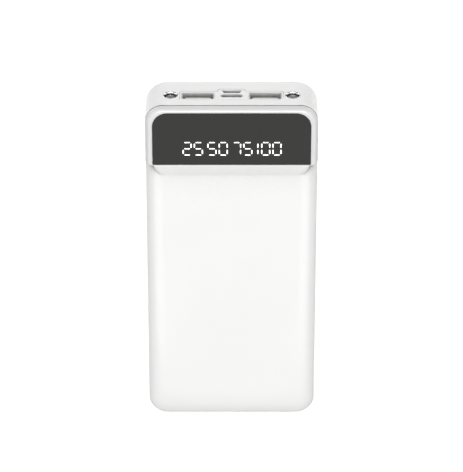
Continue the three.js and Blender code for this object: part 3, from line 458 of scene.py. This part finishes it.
def circuit_board():
    """Green solder mask over a faint net of tracks."""
    paint = Paint("board_green")
    cells = paint.nodes.new("ShaderNodeTexBrick")
    cells.inputs["Scale"].default_value = 420
    cells.inputs["Mortar Size"].default_value = 0.012
    cells.inputs["Color1"].default_value = (0.012, 0.12, 0.05, 1)
    cells.inputs["Color2"].default_value = (0.016, 0.15, 0.065, 1)
    cells.inputs["Mortar"].default_value = (0.05, 0.26, 0.12, 1)
    turned = paint.nodes.new("ShaderNodeMapping")
    turned.inputs["Rotation"].default_value = (math.pi / 2, 0, 0)
    paint.links.new(paint.place, turned.inputs["Vector"])
    paint.links.new(turned.outputs["Vector"], cells.inputs["Vector"])
    paint.link(cells.outputs["Color"], "Base Color")
    paint.link(paint.spread(paint.noise(200, 3), 0.3, 0.42), "Roughness")
    paint.bump(cells.outputs["Fac"], 0.02 * MM, 0.4)
    return paint.material


def wrinkled_foil():
    paint = Paint("cell_foil")
    folds = paint.noise(70, 6, 0.6)
    paint.link(paint.ramp(folds, [(0.3, (0.52, 0.53, 0.55)), (0.7, (0.7, 0.71, 0.73))]), "Base Color")
    paint.link(paint.spread(paint.noise(400, 4), 0.28, 0.42), "Roughness")
    paint.bump(folds, 0.25 * MM, 0.5)
    paint.put(Metallic=0.85)
    return paint.material


def grainy(name, dark, light, roughness, scale, depth):
    """Foam, paper, ferrite and other grainy stuff."""
    paint = Paint(name)
    grain = paint.noise(scale, 6, 0.65)
    paint.link(paint.ramp(grain, [(0.3, dark), (0.7, light)]), "Base Color")
    paint.link(paint.spread(grain, roughness * 0.9, min(1.0, roughness * 1.1)), "Roughness")
    paint.bump(grain, depth, 0.7)
    return paint.material


MATERIALS = {
    # The case's white, with painted shade in its hollows.
    "white_shell": white_shell("white_shell"),
    "white_bezel": white_bezel(),
    "dark_gloss": dark_gloss(),
    "digit_white": lit_digits(),
    "board_green": circuit_board(),
    "steel": metal("steel", (0.62, 0.62, 0.63), 0.42, brushed=(1, 1, 0.12), shine=0.45),
    "chrome": metal("chrome", (0.8, 0.8, 0.81), 0.1, grain=500, depth=0.001 * MM),
    "clear_lens": clear_lens(),
    "phosphor": grainy("phosphor", (0.62, 0.5, 0.1), (0.8, 0.68, 0.2), 0.45, 2500, 0.01 * MM),
    "black_plastic": moulded("black_plastic", (0.02, 0.02, 0.022), 0.42, variation=0.2).material,
    "ferrite": grainy("ferrite", (0.05, 0.05, 0.055), (0.09, 0.09, 0.095), 0.75, 1800, 0.03 * MM),
    "capacitor_tan": grainy("capacitor_tan", (0.3, 0.2, 0.1), (0.42, 0.3, 0.16), 0.5, 1500, 0.01 * MM),
    "cell_foil": wrinkled_foil(),
    "foam": grainy("foam", (0.015, 0.015, 0.017), (0.04, 0.04, 0.044), 0.95, 1400, 0.12 * MM),
    "paper": grainy("paper", (0.5, 0.42, 0.27), (0.66, 0.58, 0.4), 0.85, 900, 0.03 * MM),
    "wire_red": grainy("wire_red", (0.36, 0.02, 0.015), (0.46, 0.03, 0.02), 0.45, 600, 0.01 * MM),
    "wire_black": grainy("wire_black", (0.012, 0.012, 0.012), (0.022, 0.022, 0.022), 0.45, 600, 0.01 * MM),
}
# The front cover's white, with painted shade on the frame round the display as well as in hollows.
FRAME_SHADED_WHITE = white_shell("frame_shaded_white", shade_frame=True)
SOCKET_GREY = moulded("socket_grey", (0.62, 0.62, 0.61), 0.45, variation=0.04).material
CONTACT_GOLD = metal("contact_gold", (0.83, 0.6, 0.24), 0.22, brushed=(1, 1, 0.1))

# ---- the case's form ----------------------------------------------------------------------------


def quarter(steps=ROUND_STEPS):
    """Steps round a quarter turn of radius 1, as (inward from the side, depth)."""
    turns = [math.pi / 2 * i / steps for i in range(steps + 1)]
    return [(1 - math.sin(a), 1 - math.cos(a)) for a in turns]


def case_slice(y, half, bottom, top, low, high):
    """The case's outline at one depth, with its lower and upper corner radii."""
    return y, round_rectangle(-half, half, bottom, top, low, high)


def main_form(name, skin):
    """The main body below and behind the display block, shrunk all round by skin."""
    side_wide, side_deep = SIDE_ROUND_WIDE - skin, SIDE_ROUND_DEEP - skin
    foot_tall, foot_deep = FOOT_ROUND_TALL - skin, FOOT_ROUND_DEEP - skin
    back_round, half, top = BACK_ROUND - skin, HALF_WIDE - skin, HEIGHT - skin
    low_corner, high_corner = BOTTOM_CORNER - skin, TOP_CORNER - skin
    slices = []
    for inward, deep in quarter():
        depth = side_deep * deep
        share = max(0.0, (foot_deep - depth) / foot_deep)
        foot = foot_tall * (1 - math.sqrt(1 - share**2))
        inset = side_wide * inward
        low, high = low_corner - CORNER_TAPER * inward, high_corner - CORNER_TAPER * inward
        y = LOWER_FACE + skin + depth
        slices.append(case_slice(y, half - inset, skin + foot, top - inset, low, high))
    for inward, deep in reversed(quarter(ROUND_STEPS // 2)):
        inset = back_round * inward
        low, high = low_corner - inset, high_corner - inset
        y = BACK - skin - back_round * deep
        slices.append(case_slice(y, half - inset, skin + inset, top - inset, low, high))
    return through(name, "y", slices)


def block_form(name):
    """The display block, with its bevel and an underside that falls backwards."""

    def at(inset, depth, low, high):
        bottom = BLOCK_BOTTOM - LEDGE_SLOPE * depth
        return case_slice(FACE + depth, HALF_WIDE - inset, bottom, HEIGHT - inset, low, high)

    slices = []
    for inward, deep in quarter(ROUND_STEPS // 2):
        inset = BLOCK_BEVEL * inward
        low = BLOCK_FOOT_CORNER * (1 + 2 * deep)
        slices.append(at(inset, BLOCK_BEVEL * deep, low, BLOCK_CORNER - inset / 2))
    root = BLOCK_STEP + SIDE_ROUND_DEEP + WALL
    slices.append(at(0, root, 3 * BLOCK_FOOT_CORNER, TOP_CORNER))
    return through(name, "y", slices)


def ramp_form(name):
    """The slope from the block's face down to the lower front, with round lower corners."""
    half = HALF_WIDE - RAMP_MARGIN
    top = BLOCK_BOTTOM + RAMP_TALL
    slices = []
    for i in range(RAMP_STEPS + 1):
        share = i / RAMP_STEPS
        bottom = BLOCK_BOTTOM - RAMP_TALL * share
        low = BLOCK_FOOT_CORNER + (RAMP_CORNER - BLOCK_FOOT_CORNER) * share
        slices.append(case_slice(FACE + BLOCK_STEP * share, half, bottom, top, low, MM))
    slices.append(case_slice(FACE + 2 * BLOCK_STEP, half, RAMP_BOTTOM, top, RAMP_CORNER, MM))
    return through(name, "y", slices)


def block_hollow(name):
    """The room behind the display, which joins the main hollow."""
    inside = HALF_WIDE - WALL
    outline = round_rectangle(
        -inside, inside, BLOCK_BOTTOM + WALL / 2, TOP_INSIDE, BLOCK_CORNER - WALL
    )
    return through(name, "y", [(FACE + BLOCK_WALL, outline), (LOWER_FACE + SIDE_ROUND_DEEP, outline)])


def case_outline(inset):
    """The case's largest outline, drawn in by inset."""
    half = HALF_WIDE - inset
    low, high = BOTTOM_CORNER - inset, TOP_CORNER - inset
    return round_rectangle(-half, half, inset, HEIGHT - inset, low, high)


def soft_end(name, start, end):
    """A region of the case from start to end along y that rounds off the case's edge at end."""
    inward = 1 if end > start else -1
    margin = 0.01 * MM
    wide = case_outline(-4 * MM)
    sections = [(start, wide), (end - inward * (SEAM_SOFT + margin), wide)]
    for step_in, step_deep in reversed(quarter(SOFT_STEPS)):
        inset = SEAM_SOFT * step_in
        sections.append((end - inward * SEAM_SOFT * step_deep, case_outline(inset - margin)))
    if inward < 0:
        sections.reverse()
    return through(name, "y", sections)


def hollow_shell(name):
    outside = combine(main_form(name, 0), "UNION", block_form("block"), ramp_form("ramp"))
    inside = combine(main_form("inside", WALL), "UNION", block_hollow("hollow"))
    return combine(outside, "DIFFERENCE", inside)


# The split leaves two regions, each half a gap back from it.
FAR = 2 * HEIGHT
HALF_GAP = SEAM_GAP / 2


def front_region():
    deep = soft_end("front_region", FACE - FAR, SIDE_SEAM - HALF_GAP)
    low_part = block("below", (-FAR, -FAR, -FAR), (FAR, FAR, SHOULDER_Z - HALF_GAP))
    combine(deep, "INTERSECT", low_part)
    return combine(deep, "UNION", soft_end("rim", FACE - FAR, TOP_SEAM - HALF_GAP))


def rear_region():
    shallow = soft_end("rear_region", BACK + FAR, SIDE_SEAM + HALF_GAP)
    top_part = soft_end("cap", BACK + FAR, TOP_SEAM + HALF_GAP)
    above = block("above", (-FAR, -FAR, SHOULDER_Z + HALF_GAP), (FAR, FAR, FAR))
    combine(top_part, "INTERSECT", above)
    return combine(shallow, "UNION", top_part)


# ---- the display --------------------------------------------------------------------------------

lens_low, lens_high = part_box("display_lens")
LENS_FOOT_CORNER = 0.25 * MM


def lens_outline(margin):
    """Round at the top, nearly square at the bottom."""
    corner = LENS_FOOT_CORNER + max(margin, 0)
    return round_rectangle(
        lens_low.x - margin,
        lens_high.x + margin,
        lens_low.z - margin,
        lens_high.z + margin,
        corner,
        LENS_CORNER + margin,
    )


DIGIT_Z = lens_low.z + 7.15 * MM
DIGIT_TALL = 6.2 * MM
DIGIT_WIDE = 3.72 * MM
DIGIT_PITCH = 4.55 * MM
ONE_PITCH = 3.2 * MM
STROKE = 0.5 * MM
STROKE_GAP = 0.4 * MM
STROKE_POINT = 0.9  # length of a bar's point, as a share of its half width
WINDOW_MARGIN = 0.03 * MM

# The ends of each stroke, as shares of a digit's half width and half height.
STROKES = {
    "top": ((-1, 1), (1, 1)),
    "middle": ((-1, 0), (1, 0)),
    "bottom": ((-1, -1), (1, -1)),
    "upper_left": ((-1, 0), (-1, 1)),
    "lower_left": ((-1, -1), (-1, 0)),
    "upper_right": ((1, 0), (1, 1)),
    "lower_right": ((1, -1), (1, 0)),
    "upper_centre": ((0, 0), (0, 1)),
    "lower_centre": ((0, -1), (0, 0)),
}
DIGITS = {
    "0": ("top", "bottom", "upper_left", "lower_left", "upper_right", "lower_right"),
    "1": ("upper_centre", "lower_centre"),
    "2": ("top", "upper_right", "middle", "lower_left", "bottom"),
    "5": ("top", "upper_left", "middle", "lower_right", "bottom"),
    "7": ("top", "upper_right", "lower_right"),
}
# Each level, with the middle of its first digit.
LEVELS = (("25", -18.0 * MM), ("50", -7.95 * MM), ("75", 2.0 * MM), ("100", 10.6 * MM))


def digit_places():
    """Each digit with the x of its middle."""
    for text, x in LEVELS:
        for digit in text:
            yield digit, x
            x += ONE_PITCH if digit == "1" else DIGIT_PITCH


def stroke_outline(x, ends, margin):
    """A bar with pointed ends along one side of a digit's frame."""
    half_wide = (DIGIT_WIDE - STROKE) / 2
    half_tall = (DIGIT_TALL - STROKE) / 2
    start, end = (Vector((x + u * half_wide, DIGIT_Z + v * half_tall)) for u, v in ends)
    along = (end - start).normalized()
    across = Vector((-along.y, along.x))
    tip = STROKE_GAP - margin
    half = STROKE / 2 + margin
    shoulder = tip + STROKE_POINT * half
    points = [
        start + along * tip,
        start + along * shoulder - across * half,
        end - along * shoulder - across * half,
        end - along * tip,
        end - along * shoulder + across * half,
        start + along * shoulder + across * half,
    ]
    return [tuple(p) for p in points]


def stroke_bars(name, margin, near, far):
    """The bars of all the digits, grown by margin, between two depths."""
    bars = []
    for digit, x in digit_places():
        for stroke in DIGITS[digit]:
            outline = stroke_outline(x, STROKES[stroke], margin)
            bars.append(through(name, "y", [(near, outline), (far, outline)]))
    return merged(name, bars)


def make_display():
    near, far = lens_low.y, lens_high.y
    lens = through(
        "smoked_lens",
        "y",
        [
            (near, lens_outline(-LENS_EDGE)),
            (near + LENS_EDGE / 3, lens_outline(-LENS_EDGE / 3)),
            (near + LENS_EDGE, lens_outline(0)),
            (far, lens_outline(0)),
        ],
    )
    combine(lens, "DIFFERENCE", stroke_bars("windows", WINDOW_MARGIN, near - MM, far + MM))
    smooth(lens, 20)
    present(lens, "case", "dark_gloss", MATERIALS["dark_gloss"], "display_lens")

    guide_low, guide_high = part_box("digit_light_guide")
    plate_front = far + SLIP
    plate = block(
        "level_digits",
        (guide_low.x, plate_front, guide_low.z),
        (guide_high.x, guide_high.y, guide_high.z),
    )
    below_face, sunk = 0.06 * MM, 0.2 * MM
    combine(plate, "UNION", stroke_bars("bars", 0, near + below_face, plate_front + sunk))
    smooth(plate, 20)
    present(plate, "case", "digit_white", MATERIALS["digit_white"], "digit_light_guide")


# ---- the case halves ----------------------------------------------------------------------------


def make_front_cover():
    cover = combine(hollow_shell("front_case"), "INTERSECT", front_region())
    floor = lens_high.y + SLIP
    edge = 0.1 * MM
    pocket = through(
        "pocket",
        "y",
        [
            (FACE - MM, lens_outline(SLIP + edge)),
            (FACE, lens_outline(SLIP + edge)),
            (FACE + edge, lens_outline(SLIP)),
            (floor, lens_outline(SLIP)),
        ],
    )
    guide_low, guide_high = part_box("digit_light_guide")
    window = block(
        "window",
        (guide_low.x - SLIP, FACE - MM, guide_low.z - SLIP),
        (guide_high.x + SLIP, FACE + BLOCK_WALL + MM, guide_high.z + SLIP),
    )
    combine(cover, "DIFFERENCE", pocket, window)
    smooth(cover)
    # The front cover takes the white with painted shade on the display frame and in hollows.
    present(cover, "case", "white_shell", FRAME_SHADED_WHITE, "front_cover")


bezel_low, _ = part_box("port_bezel")
usb_a_low, usb_a_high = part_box("usb_a_right_shell")
usb_c_low, usb_c_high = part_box("usb_c_shell")
micro_low, micro_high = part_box("micro_usb_shell")
lamp_low, lamp_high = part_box("lamp_reflector_right")
button_low, button_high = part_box("power_button")

USB_A_Y = (usb_a_low.y + usb_a_high.y) / 2
BEZEL_MARGIN = 0.8 * MM
BEZEL_CORNER = 1.2 * MM
BEZEL_TAB_HALF = (micro_high.x - SHELL_THICK) + 2.2 * MM
BEZEL_FLANGE = 0.8 * MM
LAMP_Y = (lamp_low.y + lamp_high.y) / 2
LAMP_RADIUS = (lamp_high.x - lamp_low.x) / 2
BUTTON_FLANGE = 0.8 * MM
BUTTON_Y = (button_low.y + button_high.y) / 2
BUTTON_Z = (button_low.z + button_high.z) / 2


def bezel_body(name, margin, z_low, z_high, edge=0):
    """The bezel's bar and its rear tab, with its top edge drawn in by edge."""
    half = usb_a_high.x + BEZEL_MARGIN + margin
    half_deep = (usb_a_high.y - usb_a_low.y) / 2 + BEZEL_MARGIN + margin
    tab_half = BEZEL_TAB_HALF + margin
    tab_rear = micro_high.y + BEZEL_MARGIN + margin

    def slab(label, u0, u1, v0, v1):
        full = round_rectangle(u0, u1, v0, v1, BEZEL_CORNER)
        drawn = round_rectangle(u0 + edge, u1 - edge, v0 + edge, v1 - edge, BEZEL_CORNER)
        return through(label, "z", [(z_low, full), (z_high - edge, full), (z_high, drawn)])

    bar = slab(name, -half, half, USB_A_Y - half_deep, USB_A_Y + half_deep)
    tab = slab("tab", -tab_half, tab_half, USB_A_Y - half_deep, tab_rear)
    return combine(bar, "UNION", tab)


def lamp_places():
    middle = (lamp_low.x + lamp_high.x) / 2
    return [(-middle, "left"), (middle, "right")]


def pill(margin):
    """The button's outline in y and z: the CAD node's box less its flange, grown by a margin."""
    wide = (button_high.y - button_low.y) / 2 - BUTTON_FLANGE + margin
    tall = (button_high.z - button_low.z) / 2 - BUTTON_FLANGE + margin
    y, z = BUTTON_Y, BUTTON_Z
    return round_rectangle(y - wide, y + wide, z - tall, z + tall, wide - HAIR)


def make_rear_housing():
    housing = combine(hollow_shell("rear_case"), "INTERSECT", rear_region())
    edge = 0.12 * MM
    tools = []
    for x, _ in lamp_places():
        radius = LAMP_RADIUS + SLIP / 2
        profile = [
            (0, TOP_INSIDE - MM),
            (radius, TOP_INSIDE - MM),
            (radius, HEIGHT - edge),
            (radius + edge, HEIGHT),
            (radius + edge, HEIGHT + MM),
            (0, HEIGHT + MM),
        ]
        tools.append(spin("lamp_hole", profile, x, LAMP_Y))
    tools.append(bezel_body("bezel_hole", SLIP / 2, TOP_INSIDE - MM, HEIGHT + MM))
    sections = [
        (HALF_WIDE - 2 * WALL, pill(SLIP)),
        (HALF_WIDE - 2 * edge, pill(SLIP)),
        (HALF_WIDE, pill(SLIP + 2 * edge)),
        (HALF_WIDE + MM, pill(SLIP + 2 * edge)),
    ]
    tools.append(through("button_hole", "x", sections))
    combine(housing, "DIFFERENCE", *tools)
    smooth(housing)
    present(housing, "case", "white_shell", MATERIALS["white_shell"], "rear_housing")


# ---- the button ---------------------------------------------------------------------------------

BUTTON_CROWN = 0.3 * MM
DISH_EDGE = 0.75 * MM  # the dish starts this far inside the button's outline
DISH_SLOPE = 0.2 * MM
DISH_FLAT = 0.55 * MM
DISH_DEEP = 0.12 * MM


def make_button():
    """A slightly crowned cap with a shallow dish in its middle, on a flange and a post."""
    tip = button_high.x
    under = HALF_WIDE - WALL - 0.1 * MM
    sections = [
        (under - BUTTON_FLANGE, pill(BUTTON_FLANGE)),
        (under, pill(BUTTON_FLANGE)),
        (under, pill(0)),
        (tip - BUTTON_CROWN, pill(0)),
    ]
    for inward, deep in reversed(quarter(5)):
        if inward > 0:
            sections.append((tip - BUTTON_CROWN * deep, pill(-BUTTON_CROWN * inward)))
    dish = tip - DISH_DEEP
    sections += [
        (tip, pill(-DISH_EDGE)),
        (dish, pill(-DISH_EDGE - DISH_SLOPE)),
        (dish, pill(-DISH_EDGE - DISH_SLOPE - DISH_FLAT)),
    ]
    cap = through("side_button", "x", sections)
    post = block(
        "post",
        (button_low.x, BUTTON_Y - MM, BUTTON_Z - 2 * MM),
        (under - BUTTON_FLANGE / 2, BUTTON_Y + MM, BUTTON_Z + 2 * MM),
    )
    combine(cap, "UNION", post)
    smooth(cap)
    present(cap, "button", "white_shell", MATERIALS["white_shell"], "power_button")


# ---- the ports ----------------------------------------------------------------------------------


SOCKET_CORNER = 0.7 * MM
SMALLEST_CORNER = 0.05 * MM
MICRO_TAPER = 0.925 * MM
SOCKET_ROOM = 0.1 * MM  # round a shell in the bezel, and round a plug in its shell


def rectangle_mouth(low, high, corner):
    """Gives the function that draws a shell's outline in x and y, grown by a margin."""

    def outline(margin):
        radius = max(corner + margin, SMALLEST_CORNER)
        return round_rectangle(
            low.x - margin, high.x + margin, low.y - margin, high.y + margin, radius, steps=8
        )

    return outline


def micro_mouth(low, high):
    """The same for a rectangle that narrows towards the front."""

    def outline(margin):
        narrow = MICRO_TAPER - margin * 0.4
        middle = (low.y + high.y) / 2
        x0, x1 = low.x - margin, high.x + margin
        y0, y1 = low.y - margin, high.y + margin
        return [(x0 + narrow, y0), (x1 - narrow, y0), (x1, middle), (x1, y1), (x0, y1), (x0, middle)]

    return outline


def mirrored(low, high):
    """A box on the other side of the middle."""
    return Vector((-high.x, low.y, low.z)), Vector((-low.x, high.y, high.z))


def sockets():
    """Each socket's outline function and its shell's box."""
    left_low, left_high = mirrored(usb_a_low, usb_a_high)
    c_corner = (usb_c_high.y - usb_c_low.y) / 2 - HAIR
    return {
        "usb_a_left": (rectangle_mouth(left_low, left_high, SOCKET_CORNER), left_low, left_high),
        "usb_a_right": (rectangle_mouth(usb_a_low, usb_a_high, SOCKET_CORNER), usb_a_low, usb_a_high),
        "usb_c": (rectangle_mouth(usb_c_low, usb_c_high, c_corner), usb_c_low, usb_c_high),
        "micro_usb": (micro_mouth(micro_low, micro_high), micro_low, micro_high),
    }


def make_bezel():
    flange_top = TOP_INSIDE - 0.1 * MM
    bezel = bezel_body("port_frame", 0, flange_top - BEZEL_FLANGE, HEIGHT, 0.08 * MM)
    edge = 0.15 * MM
    tools = []
    for outline, _, _ in sockets().values():
        sections = [
            (bezel_low.z - MM, outline(SOCKET_ROOM)),
            (HEIGHT - edge, outline(SOCKET_ROOM)),
            (HEIGHT, outline(SOCKET_ROOM + edge)),
            (HEIGHT + MM, outline(SOCKET_ROOM + edge)),
        ]
        tools.append(through("hole", "z", sections))
    combine(bezel, "DIFFERENCE", *tools)
    smooth(bezel, 20)
    present(bezel, "case", "white_bezel", MATERIALS["white_bezel"], "port_bezel")


def make_shell(name, outline, low, high):
    """A folded steel shell with a rounded mouth, open at both ends."""
    thick = SHELL_THICK
    soft = thick / 3
    shell = through(
        name + "_can",
        "z",
        [(low.z, outline(0)), (high.z - soft, outline(0)), (high.z, outline(-soft))],
    )
    bore = through(
        "bore",
        "z",
        [
            (low.z - MM, outline(-thick)),
            (high.z - soft, outline(-thick)),
            (high.z, outline(-thick + soft)),
            (high.z + MM, outline(-thick + soft)),
        ],
    )
    combine(shell, "DIFFERENCE", bore)
    smooth(shell)
    present(shell, "case", "steel", MATERIALS["steel"], name + "_shell")


# Each tongue's width, thickness and length in mm; the number, width and pitch of its contacts; and
# the sides that they are on, with 1 for the rear.
TONGUES = {
    "usb_a_left": ((10.6, 1.84, 8.9), (4, 1.1, 2.5), (1,)),
    "usb_a_right": ((10.6, 1.84, 8.9), (4, 1.1, 2.5), (1,)),
    "usb_c": ((6.7, 0.7, 4.9), (8, 0.28, 0.75), (-1, 1)),
    "micro_usb": ((3.6, 0.6, 3.8), (5, 0.35, 0.65), (-1,)),
}
USB_A_TONGUE_AHEAD = 0.55 * MM  # from the front wall of the shell
TONGUE_ROOT = 0.3 * MM
CONTACT_ROOT = 0.2 * MM
CONTACT_SUNK = 0.05 * MM
CONTACT_PROUD = 0.08 * MM


def make_tongue(name, outline):
    """The moulded insert of a socket: the plug at the back, the tongue, and its gilt contacts."""
    low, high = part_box(name + "_tongue")
    size, (count, contact_wide, contact_pitch), sides = TONGUES[name]
    wide, thick, tall = (length * MM for length in size)
    x = (low.x + high.x) / 2
    if name.startswith("usb_a"):
        y = low.y - SOCKET_ROOM + USB_A_TONGUE_AHEAD + thick / 2
    else:
        y = (low.y + high.y) / 2
    plug_top = high.z - tall
    plug_outline = outline(-SHELL_THICK - SOCKET_ROOM)
    plug = through(name + "_insert", "z", [(low.z, plug_outline), (plug_top, plug_outline)])
    soft = thick / 6
    x0, x1, y0, y1 = x - wide / 2, x + wide / 2, y - thick / 2, y + thick / 2
    full = round_rectangle(x0, x1, y0, y1, soft, steps=4)
    drawn = round_rectangle(x0 + soft, x1 - soft, y0 + soft, y1 - soft, soft, steps=4)
    tongue = through(
        "tongue", "z", [(plug_top - TONGUE_ROOT, full), (high.z - soft, full), (high.z, drawn)]
    )
    combine(plug, "UNION", tongue)
    smooth(plug)
    present(plug, "case", "black_plastic", SOCKET_GREY, name + "_tongue")

    half = contact_wide * MM / 2
    for side in sides:
        near = y + side * (thick / 2 - CONTACT_SUNK)
        far = y + side * (thick / 2 + CONTACT_PROUD)
        strips = []
        for i in range(count):
            middle = x + (i - (count - 1) / 2) * contact_pitch * MM
            start = (middle - half, min(near, far), plug_top - CONTACT_ROOT)
            end = (middle + half, max(near, far), high.z - 3 * soft)
            strips.append(block("strip", start, end))
        row = merged(name + ("_contacts_rear" if side > 0 else "_contacts_front"), strips)
        present(row, "case", "steel", CONTACT_GOLD)


def make_ports():
    make_bezel()
    for name, (outline, low, high) in sockets().items():
        make_shell(name, outline, low, high)
        make_tongue(name, outline)


# ---- the lamps ----------------------------------------------------------------------------------


LAMP_THROAT = 1.7 * MM
CUP_WALL = 0.3 * MM
CUP_LIP = 0.25 * MM
CUP_BAND = 2 * MM  # the straight outside below the lip
CUP_STEPS = 16
LENS_BAND = 0.35 * MM
LENS_CHAMFER = 0.08 * MM
DOME_STEPS = 14


def make_cup(side, x):
    """A bright reflector that widens fast above its throat, with a rolled lip."""
    floor, rim = lamp_low.z, lamp_high.z
    mouth = LAMP_RADIUS - CUP_WALL
    profile = []
    for i in range(CUP_STEPS + 1):
        share = i / CUP_STEPS
        radius = LAMP_THROAT + (mouth - LAMP_THROAT) * share**0.55
        profile.append((radius, floor + (rim - floor - CUP_LIP) * share))
    profile += [
        (LAMP_RADIUS - CUP_WALL * 0.75, rim - 0.05 * MM),
        (LAMP_RADIUS - CUP_WALL * 0.4, rim),
        (LAMP_RADIUS - 0.05 * MM, rim - 0.08 * MM),
        (LAMP_RADIUS, rim - CUP_LIP),
        (LAMP_RADIUS, rim - CUP_BAND),
        (LAMP_THROAT + CUP_WALL, floor),
    ]
    cup = smooth(spin("lamp_cup_" + side, profile, x, LAMP_Y), 40)
    present(cup, "case", "chrome", MATERIALS["chrome"], "lamp_reflector_" + side)


def make_dome(side, x):
    """A clear lens with a short straight band and a round top."""
    low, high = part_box("lamp_lens_" + side)
    radius = (high.x - low.x) / 2
    shoulder = low.z + LENS_BAND
    profile = [
        (0, low.z),
        (radius * 0.96, low.z),
        (radius, low.z + LENS_CHAMFER),
        (radius, shoulder),
    ]
    for i in range(1, DOME_STEPS):
        turn = math.pi / 2 * i / DOME_STEPS
        profile.append((radius * math.cos(turn), shoulder + (high.z - shoulder) * math.sin(turn)))
    profile.append((0, high.z))
    lens = smooth(spin("lamp_dome_" + side, profile, x, LAMP_Y), 40)
    present(lens, "case", "clear_lens", MATERIALS["clear_lens"], "lamp_lens_" + side)


def make_lamps():
    for x, side in lamp_places():
        make_cup(side, x)
        make_dome(side, x)


# ---- the inner parts ----------------------------------------------------------------------------


def dress_inner_parts():
    """Every CAD node gets its slot's material, those that stay hidden included."""
    for part in frame["record"]["subparts"]:
        node = frame["nodes"][part["node"]]
        node.data.materials.clear()
        node.data.materials.append(MATERIALS[part["material_slot"]])


# ---- the stage, the camera and the lights -------------------------------------------------------


STAGE_HALF = 3.0
STAGE_DROP = 0.2 * MM  # the floor lies this far below the object
FLOOR_THICK = 0.02
BACKDROP_RADIUS = 2.8
BACKDROP_THICK = 0.1
BACKDROP_TALL = 3.0
FLOOR_GLOW = 0.93
SECTOR_GLOW = 1.6
SECTOR_START = 55 * MM  # distance from the object's middle at which the sectors begin


def make_stage():
    """A white floor and a round white wall. The camera sees them, but they reach the object only as
    reflections, so that the softboxes shape it."""
    outline = box_outline(-STAGE_HALF, STAGE_HALF, -STAGE_HALF, STAGE_HALF)
    floor = through("floor", "z", [(-FLOOR_THICK, outline), (-STAGE_DROP, outline)])
    near, far = BACKDROP_RADIUS, BACKDROP_RADIUS + BACKDROP_THICK
    profile = [(near, -STAGE_DROP), (far, -STAGE_DROP), (far, BACKDROP_TALL), (near, BACKDROP_TALL)]
    wall = spin("backdrop", profile, 0, 0)
    paint = Paint("studio_white")
    cloudy = [(0.3, (0.24, 0.24, 0.24)), (0.7, (0.26, 0.26, 0.26))]
    paint.link(paint.ramp(paint.noise(3, 2), cloudy), "Base Color")
    paint.put(Roughness=0.9, Specular_IOR_Level=0.1, Emission_Color=(1, 1, 1, 1))

    # Two brighter sectors of the floor, ahead to the left and the right, draw a soft white line
    # down the case's long front edges.
    place = paint.coordinates()
    side = paint.math("ABSOLUTE", place["X"])
    ahead = paint.math("MULTIPLY", place["Y"], -1)
    turn = paint.math("ARCTAN2", side, ahead)
    inner = paint.between(turn, math.radians(16), math.radians(24))
    outer = paint.between(turn, math.radians(56), math.radians(48))
    reach = paint.nodes.new("ShaderNodeVectorMath")
    reach.operation = "LENGTH"
    paint.links.new(paint.place, reach.inputs[0])
    away = paint.between(reach.outputs["Value"], SECTOR_START, 2 * SECTOR_START)
    sector = paint.math("MULTIPLY", paint.math("MULTIPLY", inner, outer), away)
    glow = paint.math("MULTIPLY_ADD", sector, SECTOR_GLOW, FLOOR_GLOW)
    paint.link(glow, "Emission Strength")
    for piece in (floor, wall):
        piece.data.materials.append(paint.material)
        piece.visible_diffuse = False
        piece.visible_shadow = False


CAMERA_PLACE = (0, -1.130, 0.736)
CAMERA_DOWN = 30  # degrees below the horizon
SENSOR = 36
FOCAL_LENGTH = 239.5
CAMERA_SHIFT = (-0.0003, -0.002)
CAMERA_REACH = 20


def make_camera():
    data = bpy.data.cameras.new("camera")
    data.sensor_width = SENSOR
    data.lens = FOCAL_LENGTH
    data.clip_end = CAMERA_REACH
    data.shift_x, data.shift_y = CAMERA_SHIFT
    camera = bpy.data.objects.new("camera", data)
    camera.location = CAMERA_PLACE
    camera.rotation_euler = (math.radians(90 - CAMERA_DOWN), 0, 0)
    bpy.context.scene.collection.objects.link(camera)
    bpy.context.scene.camera = camera


# Each softbox: azimuth (0 is the front, 90 the right) and elevation in degrees, distance from the
# middle of the object, width and height, and power in watts.
SOFTBOXES = {
    "front": (0, 8, 2.0, (1.4, 0.8), 36),
    "rear": (180, 46, 1.6, (1.6, 0.5), 7),
    "left": (-128, 28, 1.8, (0.8, 1.2), 11),
    "right": (128, 28, 1.8, (0.8, 1.2), 11),
}
SKY_BELOW = 0.08
SKY_ABOVE = 0.33
SKY_BLEND = 0.35  # sine of the height over which the sky's tone changes


def make_softbox(name, azimuth, elevation, distance, size, power):
    """A soft light aimed at the middle of the object."""
    around, up = math.radians(azimuth), math.radians(elevation)
    away = Vector((math.sin(around) * math.cos(up), -math.cos(around) * math.cos(up), math.sin(up)))
    middle = Vector((0, 0, HEIGHT / 2))
    data = bpy.data.lights.new(name, "AREA")
    data.shape = "RECTANGLE"
    data.size, data.size_y = size
    data.energy = power
    light = bpy.data.objects.new(name, data)
    light.location = middle + away * distance
    light.rotation_euler = (-away).to_track_quat("-Z", "Y").to_euler()
    bpy.context.scene.collection.objects.link(light)


def make_lights():
    world = bpy.data.worlds.new("studio")
    world.use_nodes = True
    nodes, links = world.node_tree.nodes, world.node_tree.links
    towards = nodes.new("ShaderNodeTexCoord").outputs["Generated"]
    height = nodes.new("ShaderNodeSeparateXYZ")
    links.new(towards, height.inputs["Vector"])
    rise = nodes.new("ShaderNodeMapRange")
    rise.inputs["From Min"].default_value = -SKY_BLEND
    rise.inputs["From Max"].default_value = SKY_BLEND
    rise.inputs["To Min"].default_value = SKY_BELOW
    rise.inputs["To Max"].default_value = SKY_ABOVE
    links.new(height.outputs["Z"], rise.inputs["Value"])
    links.new(rise.outputs["Result"], nodes["Background"].inputs["Color"])
    scene = bpy.context.scene
    scene.world = world
    for name, setting in SOFTBOXES.items():
        make_softbox(name, *setting)
    scene.view_settings.view_transform = "Standard"
    scene.view_settings.look = "None"


# ---- the whole ----------------------------------------------------------------------------------

make_camera()
make_stage()
make_lights()
dress_inner_parts()
make_front_cover()
make_rear_housing()
make_display()
make_ports()
make_lamps()
make_button()
